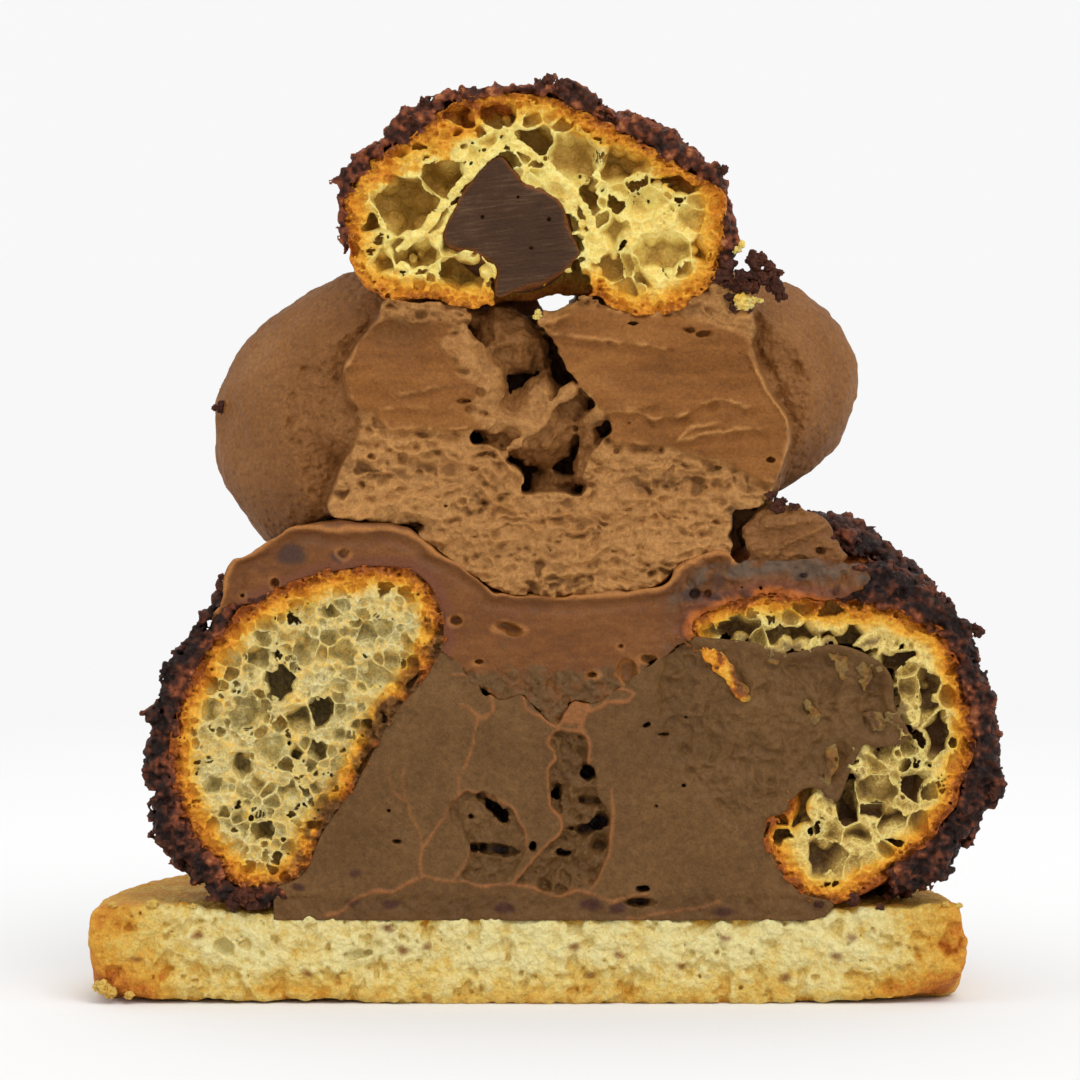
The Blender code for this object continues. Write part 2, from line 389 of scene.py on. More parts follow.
def main_bodies(count, faces, least):
    """Which vertices belong to bodies of at least so many vertices, leaving loose specks out."""
    label = np.arange(count)
    a = faces.ravel()
    b = np.roll(faces, -1, 1).ravel()
    while True:
        low = np.minimum(label[a], label[b])
        joined = label.copy()
        np.minimum.at(joined, label[a], low)
        np.minimum.at(joined, label[b], low)
        joined = joined[joined]
        if (joined == label).all():
            break
        label = joined
    return np.bincount(label, minlength=count)[label] >= least


def piece(name, block, field, finish, slot, marks):
    """Turns a field into a mesh object that stands for its node. Marks are values for its finish."""
    closed = np.pad(field, 1, constant_values=BAND).astype(np.float32)
    grid = openvdb.FloatGrid(BAND)
    grid.copyFromArray(np.clip(closed, -BAND, BAND))
    points, _, quads = grid.convertToPolygons(isovalue=0.0, adaptivity=0.0)
    faces = quads.astype(np.int64)
    keep = main_bodies(len(points), faces, SPECK)
    renumber = np.cumsum(keep) - 1
    faces = renumber[faces[keep[faces[:, 0]]]]
    points = points[keep] - 1
    places = np.empty_like(points, dtype=float)
    for number, axis in enumerate((block.x, block.d, block.z)):
        low = np.clip(np.floor(points[:, number]).astype(int), 0, len(axis) - 2)
        share = points[:, number] - low
        places[:, number] = axis[low] * (1 - share) + axis[low + 1] * share
    places[:, 2] = np.maximum(places[:, 2], 0.0)
    a, b, c = (places[faces[:, number]] for number in range(3))
    if np.einsum("ij,ij->i", a, np.cross(b, c)).sum() < 0:
        faces = faces[:, ::-1]
    made = mesh_object(name, places, faces, marks, block)
    thin_out(made, places)
    return settle(made, finish, slot, block.node)


def mesh_object(name, places, faces, marks, block):
    """A smooth mesh object in the scene, its marks read off at its vertices and stored with them."""
    mesh = bpy.data.meshes.new(name)
    size = faces.shape[1]
    mesh.vertices.add(len(places))
    shifted = places + (0, CUT, 0)
    mesh.vertices.foreach_set("co", (shifted * MM).astype(np.float32).ravel())
    mesh.loops.add(faces.size)
    mesh.loops.foreach_set("vertex_index", faces.astype(np.int32).ravel())
    mesh.polygons.add(len(faces))
    mesh.polygons.foreach_set("loop_start", np.arange(0, faces.size, size, dtype=np.int32))
    mesh.update(calc_edges=True)
    mesh.shade_smooth()
    for mark, values in marks.items():
        if values.ndim == 2:
            values = read_at(values, (block.x, block.z), places[:, [0, 2]])
        else:
            values = read_at(values, (block.x, block.d[: values.shape[1]], block.z), places)
        stored = mesh.attributes.new(mark, "FLOAT", "POINT")
        stored.data.foreach_set("value", values.astype(np.float32))
    made = bpy.data.objects.new(name, mesh)
    bpy.context.scene.collection.objects.link(made)
    return made


def thin_out(made, places):
    """Brings a mesh of quads down to the most triangles that a piece has, mostly behind the cut."""
    count = len(made.data.polygons) * 2
    if count <= MOST_TRIANGLES:
        return
    behind = made.vertex_groups.new(name="behind")
    levels = np.round(1 + (THIN_LEVELS - 1) * ease((places[:, 1] - THIN_FROM) / THIN_OVER))
    for level in range(1, THIN_LEVELS + 1):
        chosen = np.nonzero(levels == level)[0]
        if len(chosen):
            behind.add(chosen.tolist(), level / THIN_LEVELS, "REPLACE")
    modifier = made.modifiers.new("thin_out", "DECIMATE")
    modifier.ratio = MOST_TRIANGLES / count
    modifier.vertex_group = behind.name
    modifier.vertex_group_factor = KEEP_FRONT
    with bpy.context.temp_override(object=made):
        bpy.ops.object.modifier_apply(modifier=modifier.name)
    made.vertex_groups.clear()


def settle(made, finish, slot, *nodes):
    """Gives a piece its material, hangs it under the root, and hides the CAD parts that it stands for."""
    made.data.materials.append(finish)
    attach(made, "root")
    if nodes:
        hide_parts(*nodes)
    return made


# --- Finishes -------------------------------------------------------------------------------------


def tint(red, green, blue):
    """A screen colour, from 0 to 255, as the light that it stands for."""
    return tuple(((part / 255 + 0.055) / 1.055) ** 2.4 for part in (red, green, blue))


CRUST_DARK = tint(30, 16, 12)
CRUST = tint(74, 37, 22)
# The warm and pale crust tints are partly the crust's baked colour, partly painted highlight on its proud
# lumps and grains.
CRUST_WARM = tint(134, 70, 40)
CRUST_PALE = tint(196, 130, 80)
FILLING_DEEP = tint(80, 52, 23)
FILLING = tint(99, 68, 33)
FILLING_PALE = tint(118, 84, 45)
FILLING_DARK = tint(66, 36, 24)
SEAM = tint(152, 94, 50)
LAYER_DEEP = tint(88, 48, 15)
LAYER = tint(110, 64, 23)
LAYER_PALE = tint(132, 82, 35)
LAYER_GREY = tint(92, 72, 55)
# Painted highlight along the layer's rolled lip.
LIP_HIGHLIGHT = tint(172, 112, 55)
LAYER_DARK = tint(50, 36, 34)
# Colours of painted glow: by the puffs in the layer, and round the core's rim.
GLOW = tint(172, 94, 32)
MAUVE_GLOW = tint(108, 60, 38)
CREAM_DEEP = tint(110, 66, 23)
CREAM = tint(133, 82, 33)
CREAM_PALE = tint(152, 100, 47)
TORN = tint(165, 117, 65)
TORN_PALE = tint(191, 139, 78)
PETAL_DEEP = tint(112, 70, 31)
PETAL = tint(130, 84, 41)
PETAL_PALE = tint(148, 102, 57)
# Painted highlight for the cream's crests and proud parts.
CREAM_HIGHLIGHT = tint(186, 130, 71)
CORE_DEEP = tint(54, 33, 19)
CORE = tint(70, 46, 28)
CORE_PALE = tint(116, 88, 62)
BISCUIT_PALE = tint(222, 208, 146)
BISCUIT = tint(212, 180, 94)
BISCUIT_GOLD = tint(206, 152, 54)
BISCUIT_BAKED = tint(188, 110, 34)
BISCUIT_DARK = tint(120, 62, 26)
CHOUX_CRUST = (tint(236, 208, 116), tint(232, 176, 56), tint(218, 140, 34), tint(150, 78, 22))
# Each puff's crumb: its thin walls, the crumb between, and painted shade for the inside of its cells.
CHOUX_CRUMB = {
    "left": (tint(216, 204, 152), tint(164, 147, 90), tint(98, 80, 45)),
    "right": (tint(228, 206, 128), tint(186, 152, 74), tint(92, 62, 28)),
    "top": (tint(248, 230, 146), tint(232, 202, 98), tint(158, 116, 38)),
}
TOP_WARMTH = 0.08  # how much paler and redder the top puff's crust is
SIDE_WARMTH = -0.11
SPECKLE = 0.4


class Value:
    """What comes out of a shader node, for use in sums."""

    def __init__(self, finish, socket):
        self.finish = finish
        self.socket = socket

    def __add__(self, other):
        return self.finish.maths("ADD", self, other)

    def __sub__(self, other):
        return self.finish.maths("SUBTRACT", self, other)

    def __mul__(self, other):
        return self.finish.maths("MULTIPLY", self, other)

    def __rsub__(self, other):
        return self.finish.maths("SUBTRACT", other, self)

    __radd__ = __add__
    __rmul__ = __mul__

    def rise(self, low, high):
        """0 at low, 1 at high, smooth between."""
        sockets = {"Value": self, "From Min": low, "From Max": high}
        return self.finish.node("ShaderNodeMapRange", {"interpolation_type": "SMOOTHSTEP"}, sockets)

    def ramp(self, *stops):
        """A colour for each value, run smoothly between stops of a place and a colour."""
        return self.finish.node("ShaderNodeValToRGB", {"stops": stops}, {"Fac": self})


class Finish:
    """A material under construction. Constants go straight onto its shader."""

    def __init__(self, name, **constants):
        self.material = bpy.data.materials.new(name)
        self.material.use_nodes = True
        self.tree = self.material.node_tree
        self.shader = self.tree.nodes["Principled BSDF"]
        for socket, value in constants.items():
            self.shader.inputs[socket.replace("_", " ")].default_value = value

    def node(self, kind, settings, sockets, output=0):
        """Any other node, its settings set before its sockets."""
        made = self.tree.nodes.new(kind)
        for setting, value in settings.items():
            if setting == "stops":
                self.set_stops(made.color_ramp, value)
            else:
                setattr(made, setting, value)
        for socket, value in sockets.items():
            self.feed(made.inputs[socket], value)
        return Value(self, made.outputs[output])

    @staticmethod
    def set_stops(ramp, stops):
        while len(ramp.elements) < len(stops):
            ramp.elements.new(0.5)
        for element, (place, colour) in zip(ramp.elements, stops):
            element.position = place
            element.color = (*colour, 1.0)

    def feed(self, socket, value):
        if isinstance(value, Value):
            self.tree.links.new(value.socket, socket)
        elif socket.type == "RGBA" and len(value) == 3:
            socket.default_value = (*value, 1.0)
        else:
            socket.default_value = value

    def maths(self, operation, *values):
        return self.node("ShaderNodeMath", {"operation": operation}, dict(enumerate(values)))

    def mark(self, name):
        """The values that a mesh stores under a name, or 0 if it stores none."""
        return self.node("ShaderNodeAttribute", {"attribute_name": name}, {}, "Fac")

    def place(self, size, seed=0.0, stretch=(1, 1, 1), turn=0.0):
        """Where a point of the surface is, counted in features of a size in millimetres."""
        scale = tuple(1 / (size * MM * part) for part in stretch)
        here = self.node("ShaderNodeTexCoord", {}, {}, "Object")
        if turn:
            sockets = {"Vector": here, "Angle": turn}
            here = self.node("ShaderNodeVectorRotate", {"rotation_type": "Y_AXIS"}, sockets)
        sockets = {0: here, 1: scale, 2: (seed,) * 3}
        return self.node("ShaderNodeVectorMath", {"operation": "MULTIPLY_ADD"}, sockets)

    def noise(self, size, seed=0.0, detail=3.0, stretch=(1, 1, 1), rough=0.55, turn=0.0):
        """Clouded values about 0.5."""
        at = self.place(size, seed, stretch, turn)
        sockets = {"Vector": at, "Scale": 1.0, "Detail": detail, "Roughness": rough}
        return self.node("ShaderNodeTexNoise", {}, sockets)

    def pores(self, size, seed=0.0):
        """Distance to the middles of scattered grains, in grain sizes."""
        return self.node("ShaderNodeTexVoronoi", {}, {"Vector": self.place(size, seed), "Scale": 1.0})

    def web(self, size, seed, width):
        """1 on the thin walls of a foam, 0 between them."""
        sockets = {"Vector": self.place(size * 1.5, seed), "Scale": 1.0}
        bend = self.node("ShaderNodeTexNoise", {}, sockets, "Color")
        at = self.node("ShaderNodeVectorMath", {"operation": "ADD"}, {0: self.place(size, seed), 1: bend})
        sockets = {"Vector": at, "Scale": 1.0}
        gap = self.node("ShaderNodeTexVoronoi", {"feature": "DISTANCE_TO_EDGE"}, sockets)
        return 1 - gap.rise(0.0, width)

    def mix(self, first, second, share, blend="MIX"):
        """Two colours, the second by a share."""
        settings = {"data_type": "RGBA", "blend_type": blend}
        return self.node("ShaderNodeMix", settings, {0: share, 6: first, 7: second}, 2)

    def done(self, colour, roughness, height, depth):
        """Colour, roughness, and a bump whose height spans depth millimetres, all finely speckled."""
        dust = self.noise(0.22, 9.0, detail=2.0)
        colour = self.mix(colour, dust, SPECKLE, "OVERLAY")
        height = height + dust * 0.5
        self.feed(self.shader.inputs["Base Color"], colour)
        self.feed(self.shader.inputs["Roughness"], roughness)
        sockets = {"Height": height, "Distance": depth * MM, "Strength": 1.0}
        self.feed(self.shader.inputs["Normal"], self.node("ShaderNodeBump", {}, sockets))
        return self.material


def crumb_finish(name, pale, mid, shade):
    """Choux: pale walls, painted shade inside the cells, and a crust that browns outward."""
    finish = Finish(
        name,
        Specular_IOR_Level=0.25,
        Subsurface_Weight=0.35,
        Subsurface_Radius=(1.0, 0.7, 0.35),
        Subsurface_Scale=MM,
    )
    blotch = finish.noise(2.2, 3.0)
    fine = finish.noise(0.4, 7.0)
    broad_web = finish.web(1.1, 2.0, 0.12)
    fine_web = finish.web(0.5, 5.0, 0.16)
    toast = finish.mark("toast") + (blotch - 0.5) * 0.6 + (fine - 0.5) * 0.6 - fine_web * 0.05
    # The hollow mark is painted shade: darker down in the cells, palest at the tops of the walls.
    hollow = finish.mark("hollow") + (blotch - 0.5) * 0.3
    crumb = finish.mix(mid, shade, (hollow + (blotch - 0.5) * 0.5).rise(0.05, 0.9))
    lines = broad_web * 0.4 + fine_web * 0.35 + (1 - hollow.rise(0.0, 0.3)) * 0.35 + (fine - 0.5) * 0.4
    crumb = finish.mix(crumb, pale, lines.rise(0.1, 0.9) * (1 - hollow.rise(0.15, 0.7)))
    first, second, third, last = CHOUX_CRUST
    crust = toast.ramp((0.15, first), (0.48, second), (0.74, third), (0.96, last))
    dots = 1 - (finish.pores(0.9, 6.0) + (fine - 0.5) * 0.4).rise(0.12, 0.34)
    crust = finish.mix(crust, last, dots * toast.rise(0.35, 0.8) * 0.8)
    # Painted shade in the crust's hollows as well.
    crust = finish.mix(crust, finish.mix(shade, last, toast.rise(0.2, 0.8)), hollow.rise(0.15, 1.1) * 0.7)
    colour = finish.mix(crumb, crust, toast.rise(0.0, 0.55))
    colour = finish.mix(colour, FILLING, finish.mark("stain"))
    return finish.done(colour, 0.4 + fine * 0.3, fine + fine_web * 0.3 + broad_web * 0.25, 0.12)


def craquelin_finish(name, warmth):
    """Baked cocoa sugar: nearly black, with warmer grains where it is marked, paler on the tops of lumps
    and grains as a painted highlight.
    """
    finish = Finish(name, Specular_IOR_Level=0.22)
    broad = finish.noise(2.6, 1.0)
    fine = finish.noise(0.45, 5.0, rough=0.65)
    sugar = finish.pores(0.4, 2.0)
    tone = broad * 0.35 + fine * 0.7 - 0.4 + finish.mark("warm") * 0.6 + warmth
    colour = tone.ramp((0.12, CRUST_DARK), (0.42, CRUST), (0.72, CRUST_WARM), (1.0, CRUST_PALE))
    return finish.done(colour, sugar.rise(0.1, 0.7) * 0.35 + 0.4, fine + sugar * 0.4, 0.2)


def filling_finish():
    """The dark chocolate filling, with paler seams, darker toward its foot and in blotches there, and
    painted shade where it is deep.
    """
    finish = Finish("filling", Specular_IOR_Level=0.2)
    broad = finish.noise(6.0, 2.0)
    fine = finish.noise(0.6, 4.0)
    tone = broad * 0.5 + fine * 0.5
    colour = tone.ramp((0.25, FILLING_DEEP), (0.5, FILLING), (0.75, FILLING_PALE))
    colour = finish.mix(colour, FILLING_DARK, (finish.mark("dark") + (fine - 0.5) * 0.8).rise(0.2, 1.1))
    # Painted shade: near black deep in the pockets and broken hollows.
    colour = finish.mix(colour, CRUST_DARK, finish.mark("deep"))
    colour = finish.mix(colour, SEAM, finish.mark("seam") * (0.35 + fine * 1.2))
    return finish.done(colour, 0.42 + fine * 0.25, fine + broad, 0.12)


def layer_finish():
    """Milk chocolate cream, with a painted glow where it touches the crusts, and greying over the right
    puff.
    """
    finish = Finish("layer", Specular_IOR_Level=0.25)
    broad = finish.noise(4.5, 3.0, stretch=(2.5, 1, 1))
    fine = finish.noise(0.8, 6.0, stretch=(2, 1, 1))
    tone = broad * 0.55 + fine * 0.45
    colour = tone.ramp((0.28, LAYER_DEEP), (0.5, LAYER), (0.72, LAYER_PALE))
    colour = finish.mix(colour, LAYER_GREY, (finish.mark("grey") + (broad + fine - 1.0)).rise(0.1, 1.0))
    patches = finish.noise(1.6, 12.0, detail=4.0)
    colour = finish.mix(colour, FILLING, (finish.mark("mottle") + (patches - 0.5) * 2.5).rise(0.2, 0.7))
    # Painted glow: mauve, then orange, where the cream touches the puffs.
    glow = finish.mark("glow") + (fine - 0.5) * 0.7
    colour = finish.mix(colour, MAUVE_GLOW, glow.rise(0.1, 0.6) * 0.8)
    colour = finish.mix(colour, GLOW, glow.rise(0.6, 1.1))
    colour = finish.mix(colour, LAYER_DARK, (finish.mark("dark") + (fine - 0.5) * 0.7).rise(0.1, 1.1) * 0.8)
    # Painted highlight along the rolled lip and the rims of burst bubbles.
    colour = finish.mix(colour, LIP_HIGHLIGHT, finish.mark("lip"))
    return finish.done(colour, 0.38 + fine * 0.25, fine + broad, 0.10)


def cream_finish():
    """Whipped cream: smooth and dark where it was sliced, paler and grainy where it tore."""
    finish = Finish("cream", Specular_IOR_Level=0.2)
    broad = finish.noise(6.0, 4.0, detail=4.0, stretch=(2.0, 1, 1))
    streak = finish.noise(0.9, 6.0, detail=4.0, stretch=(5.0, 1, 1), rough=0.65)
    fine = finish.noise(0.4, 2.0)
    tone = broad * 0.5 + streak * 0.35 + fine * 0.25 - 0.05
    sliced = tone.ramp((0.36, CREAM_DEEP), (0.5, CREAM), (0.66, CREAM_PALE))
    ragged = (tone * 0.6 + fine * 0.4).ramp((0.3, CREAM_PALE), (0.5, TORN), (0.7, TORN_PALE))
    piped = (broad * 0.5 + fine * 0.5).ramp((0.3, PETAL_DEEP), (0.5, PETAL), (0.7, PETAL_PALE))
    colour = finish.mix(sliced, ragged, finish.mark("torn"))
    colour = finish.mix(colour, piped, finish.mark("petal"))
    # Painted highlight on ridge crests and on the proud parts of torn cream.
    colour = finish.mix(colour, CREAM_HIGHLIGHT, finish.mark("edge") * (0.3 + fine))
    # The shade mark darkens toward near black; on the crown it is painted shade.
    colour = finish.mix(colour, CRUST_DARK, finish.mark("shade"))
    pimples = (1 - finish.pores(0.9, 3.0).rise(0.0, 0.6)) * finish.mark("petal")
    return finish.done(colour, 0.5 + fine * 0.25, fine * 0.7 + streak * 0.5 + pimples * 1.3, 0.12)


KNIFE_TILT = 0.12


def core_finish():
    """Dark ganache, finely streaked by a tilted knife."""
    finish = Finish("core", Specular_IOR_Level=0.15)
    broad = finish.noise(4.0, 5.0)
    knife = finish.noise(0.24, 6.0, detail=4.0, stretch=(14, 3, 1), rough=0.7, turn=KNIFE_TILT)
    colour = (broad * 0.35 + knife * 0.65).ramp((0.3, CORE_DEEP), (0.52, CORE), (0.78, CORE_PALE))
    # Painted glow along the rim of the cut.
    colour = finish.mix(colour, GLOW, finish.mark("rim") * 0.35)
    return finish.done(colour, 0.42 + knife * 0.2, knife, 0.14)


def biscuit_finish():
    """Shortbread, from pale crumb to a brown skin."""
    finish = Finish("biscuit", Specular_IOR_Level=0.2, Subsurface_Weight=0.1, Subsurface_Scale=0.8 * MM)
    broad = finish.noise(5.0, 6.0)
    fine = finish.noise(0.6, 3.0, rough=0.65)
    grains = finish.pores(0.4, 4.0)
    baked = finish.mark("baked") + (broad - 0.5) * 0.45 + (fine - 0.5) * 0.5 + finish.mark("pit") * 0.16
    colour = baked.ramp(
        (0.05, BISCUIT_PALE),
        (0.30, BISCUIT),
        (0.52, BISCUIT_GOLD),
        (0.76, BISCUIT_BAKED),
        (1.0, BISCUIT_DARK),
    )
    colour = finish.mix(colour, BISCUIT_DARK, finish.mark("speck"))
    return finish.done(colour, 0.6 + fine * 0.25, grains * 0.6 + fine, 0.22)


# --- Choux and craquelin ----------------------------------------------------------------------------


@dataclass
class Puff:
    """A cut choux puff: its outline, how its air cells run, and what is drawn on it."""

    node: str
    cut: tuple
    cell: float  # across a usual air cell
    rim: float  # how far the bake reaches in
    seed: int
    deep: float = 0.5  # how far back cells lie open, in cells
    hollow: tuple = ()  # outline of the part that is filled or open
    big: tuple = ()  # large cells: x, z, half width, half height, depth
    strands: tuple = ()  # thicker threads of crumb: radius, depth and a line
    slits: tuple = ()  # narrow openings: radius and a line
    flaps: tuple = ()  # outlines of loose scraps of crumb that lie on the cut
    browned: tuple = ()  # parts baked darker than their depth tells: strength, radius and a line


PUFFS = {
    "left": Puff(
        "choux_left",
        cut=(
            (3.7, 14.5), (8.4, 14.7), (11.2, 13.7), (12.6, 11.6), (13.2, 7.8), (11.4, 4.1), (8.4, 0.6),
            (5.2, -5.4), (2.0, -10.1), (0.5, -13.6), (-2.4, -15.0), (-5.7, -14.9), (-8.4, -12.3),
            (-11.1, -8.1), (-12.0, -2.6), (-10.6, 3.7), (-6.7, 9.5), (-1.4, 13.0),
        ),
        cell=1.2, rim=2.6, seed=11,
        browned=(
            (0.7, 1.1, ((11.9, 9.0), (10.8, 5.4), (8.0, 1.6), (5.0, -4.0), (2.4, -8.6), (0.2, -12.4))),
        ),
        slits=((0.3, ((6.6, -2.2), (5.8, -3.4), (5.4, -4.3))), (0.25, ((10.9, 4.9), (9.7, 3.6)))),
        big=(
            (-2.0, 3.8, 1.2, 1.4, 3.6), (1.8, 1.1, 1.0, 1.3, 3.0), (1.5, -2.2, 0.6, 0.65, 2.4),
            (-0.7, -2.6, 0.5, 0.55, 1.8), (-0.2, 0.6, 1.2, 1.0, 1.4), (-5.0, 1.0, 1.3, 1.5, 1.2),
            (-2.6, -2.2, 1.3, 1.1, 0.9), (3.6, 6.4, 1.2, 1.1, 0.9), (0.4, 7.0, 1.0, 1.1, 1.0),
            (6.6, 4.6, 1.1, 0.9, 0.9), (-5.6, -3.6, 0.9, 1.0, 1.3), (5.8, 8.2, 0.9, 1.0, 1.0),
            (-4.0, 6.2, 0.9, 0.8, 1.2), (-3.4, -9.6, 1.1, 0.9, 1.4), (-1.0, -6.2, 1.1, 0.8, 0.9),
            (2.4, 10.2, 0.8, 0.6, 1.2), (7.6, 0.6, 0.6, 0.6, 1.4), (4.0, -4.6, 0.6, 0.6, 1.2),
        ),
    ),
    "right": Puff(
        "choux_right",
        cut=(
            (-11.0, 7.9), (-9.0, 10.4), (-6.4, 11.3), (-3.4, 11.9), (2.4, 10.9), (7.6, 10.4), (12.4, 7.9),
            (13.9, 4.2), (15.2, -1.8), (13.4, -6.8), (12.3, -9.3), (8.1, -13.3), (5.5, -15.3), (2.4, -16.4),
            (-0.1, -16.1), (-1.9, -14.8), (-3.7, -12.0), (-4.3, -10.3), (-3.5, -8.6), (-2.1, -7.1),
            (-6.3, -1.6),
        ),
        cell=1.9, rim=2.1, seed=23, deep=0.2,
        strands=(
            (0.22, 0.7, ((-2.1, 4.2), (-0.6, 3.4), (1.0, 3.6))),
        ),
        slits=((0.25, ((-13.0, -5.0), (-13.1, -6.4))),),
        flaps=(
            (
                (-11.7, 8.0), (-10.2, 8.1), (-8.8, 7.1), (-7.6, 5.7), (-6.6, 4.1), (-5.4, 2.4), (-6.0, 1.9),
                (-6.9, 2.8), (-7.6, 3.5), (-8.6, 4.5), (-9.6, 5.8), (-10.7, 6.6), (-12.0, 7.1),
            ),
            ((-0.7, 2.0), (0.1, 2.2), (0.9, 0.6), (0.6, -0.5), (-0.1, 0.0), (-0.2, 1.1)),
            ((1.8, 6.2), (3.0, 6.4), (3.6, 5.0), (3.0, 3.9), (2.4, 5.0)),
            ((4.4, 5.4), (5.8, 4.6), (5.4, 2.8), (4.7, 3.6)),
            ((1.6, -2.4), (2.6, -2.0), (2.5, -4.6), (1.4, -5.6), (1.3, -4.0)),
            ((-4.8, 7.0), (-2.4, 6.4), (-2.9, 5.4), (-4.2, 5.9)),
            ((5.0, 0.6), (6.2, 1.0), (6.8, -0.4), (5.6, -0.6)),
        ),
        hollow=(
            (-13.4, 8.6), (-10.2, 7.6), (-7.7, 7.3), (-5.2, 7.0), (-2.6, 6.0), (-0.1, 6.4), (2.3, 6.8),
            (5.0, 6.0), (7.1, 4.3), (7.6, 1.2), (8.8, -1.3), (6.4, -2.0), (4.8, -1.8), (3.5, -4.4),
            (2.4, -7.0), (1.2, -5.9), (-0.5, -5.8), (-2.1, -7.1), (-5.1, -9.0), (-7.2, -9.7), (-13.6, -1.6),
        ),
        big=(
            (3.4, -7.6, 1.1, 2.0, 3.0), (-0.8, -7.6, 0.8, 1.5, 2.5), (11.6, -1.0, 0.7, 1.2, 2.4),
            (8.1, 5.7, 0.7, 0.5, 1.8), (5.8, -6.4, 1.6, 1.2, 1.2), (1.6, -12.4, 1.6, 1.1, 1.2),
            (-7.4, 8.6, 1.5, 0.8, 1.2), (10.6, 2.4, 0.8, 1.6, 1.4), (7.6, -9.0, 1.0, 0.8, 1.2),
            (-1.6, 8.2, 1.2, 0.7, 1.6), (3.6, 7.6, 1.1, 0.6, 1.6), (9.6, -5.6, 0.7, 1.0, 1.4),
        ),
    ),
    "top": Puff(
        "choux_top",
        cut=(
            (-17.6, 0.3), (-17.1, -5.2), (-15.8, -6.9), (-13.7, -8.1), (-10.7, -8.4), (-6.3, -8.9),
            (-0.4, -8.2), (4.7, -7.9), (6.1, -8.7), (8.5, -9.6), (11.0, -9.4), (13.5, -8.4), (15.5, -6.8),
            (16.3, -4.8), (16.8, -0.1), (15.6, 2.5), (13.5, 3.4), (9.7, 5.7), (6.1, 7.7), (3.4, 9.2),
            (0.8, 10.2), (-1.8, 10.6), (-5.4, 10.4), (-7.7, 9.8), (-9.4, 8.6), (-10.4, 7.4), (-14.9, 4.7),
            (-16.7, 2.7),
        ),
        cell=1.5, rim=2.6, seed=37, deep=0.3,
        strands=(
            (0.42, 0.25, ((-3.0, 6.3), (-4.6, 4.9), (-6.8, 2.6), (-9.2, -0.2), (-10.2, -1.6),
                          (-12.6, -3.6))),
            (0.38, 0.4, ((-2.5, 6.0), (0.0, 4.4), (3.2, 1.4), (4.9, -2.0), (5.1, -4.6))),
            (0.3, 0.3, ((-3.0, 6.3), (-1.8, 8.0))),
            (0.5, 0.3, ((-15.2, 2.4), (-13.0, 4.0), (-10.6, 4.9), (-8.4, 5.6), (-6.2, 6.8))),
            (0.4, 0.0, ((-12.2, 3.4), (-10.4, 4.2), (-8.6, 4.9))),
        ),
        browned=(
            (0.62, 1.1, ((-14.8, 3.0), (-12.4, 4.6), (-9.6, 5.7), (-6.4, 7.4))),
            (0.85, 0.9, ((-9.6, 8.0), (-7.4, 8.7), (-3.4, 9.0))),
            (0.5, 0.5, ((-12.4, 3.2), (-10.4, 4.0), (-8.6, 4.7))),
        ),
        hollow=(
            (-5.1, -10.4), (-4.5, -7.9), (-3.6, -7.1), (0.0, -6.7), (2.9, -5.3), (3.9, -5.5), (4.6, -7.9),
            (4.2, -10.4),
        ),
        big=(
            (-11.9, 0.4, 2.9, 2.5, 3.0), (-8.6, 2.6, 2.2, 1.6, 2.4), (-0.5, 5.9, 1.8, 1.4, 4.5),
            (3.0, 4.7, 2.4, 2.4, 1.8), (7.4, 4.1, 1.9, 1.4, 2.0), (12.7, 2.1, 1.8, 0.65, 2.6),
            (4.4, 7.2, 0.8, 0.65, 1.6), (11.2, -4.0, 2.2, 1.4, 1.3), (6.6, -2.2, 1.2, 1.1, 1.1),
            (6.6, -5.3, 1.2, 1.0, 1.3), (14.6, -4.0, 0.8, 1.1, 1.2), (-7.1, -6.0, 2.0, 1.5, 2.8),
            (-11.4, -4.0, 1.7, 1.2, 1.6), (9.4, 0.6, 1.6, 1.3, 0.9), (13.6, -0.8, 1.1, 1.1, 1.0),
            (8.4, -7.3, 1.4, 0.8, 1.0), (-14.5, -4.8, 0.9, 0.8, 1.2), (-15.2, -1.2, 0.7, 1.1, 1.4),
            (-7.6, 8.5, 1.9, 0.9, 2.4), (-4.2, 8.7, 1.6, 1.0, 2.6), (4.4, 0.4, 0.7, 1.6, 1.4),
        ),
    ),
}


# How far back in a puff and its crust the shape of the cut is felt.
PUFF_REACH = {"left": 10.0, "right": 7.0, "top": 16.0}
CELLS_END = 4.6  # air cells are cut this deep
PORE = 0.62  # across a fine pore between them
WALL = 0.06  # half as thick as the walls between them
TUCKED = 0.3


def face_from(block, node):
    """A block's face, as offsets from the middle of another node's box."""
    shift = middle(node) - block.home
    return block.face[0] - shift[0], block.face[1] - shift[1]


def puff_section(block, name):
    """A puff's crumb on the cut, in any block's face."""
    puff = PUFFS[name]
    face = face_from(block, puff.node)
    ring = outline(face, puff.cut)
    if puff.hollow:
        ring = np.maximum(ring, -outline(face, puff.hollow))
    return ring


def tucked(block, section):
    """A cream's section without the ring's puffs, but for a little that is tucked under their edges."""
    for name in ("left", "right"):
        section = np.maximum(section, -puff_section(block, name) - TUCKED)
    return section


def beads(block, field, line, radius, depth, add, rough):
    """A string of lumps along a line, or if they aren't added, a row of deep bites."""
    half = (radius, radius if add else 5 * radius, radius)
    for x, z in curve(line, False):
        stamp(block, field, (x, depth, z), half, 0, add, 0.25 * add, rough)


def open_part(block, puff, name):
    """Distance from the part of a puff that is filled or open, as it is on the cut."""
    opening = np.full(block.face[0].shape, BAND)
    if puff.hollow:
        ragged = wavy(block, 1.3, 0.8, puff.seed + 4)
        frayed = 0.4 * face_grain(block, 0.7, puff.seed + 3, count=3, fade=0.7)
        opening = outline(ragged, puff.hollow) + frayed
    if name == "top":
        opening = np.minimum(opening, outline(face_from(block, "ganache_core"), CORE_CUT) + 0.05)
    return opening


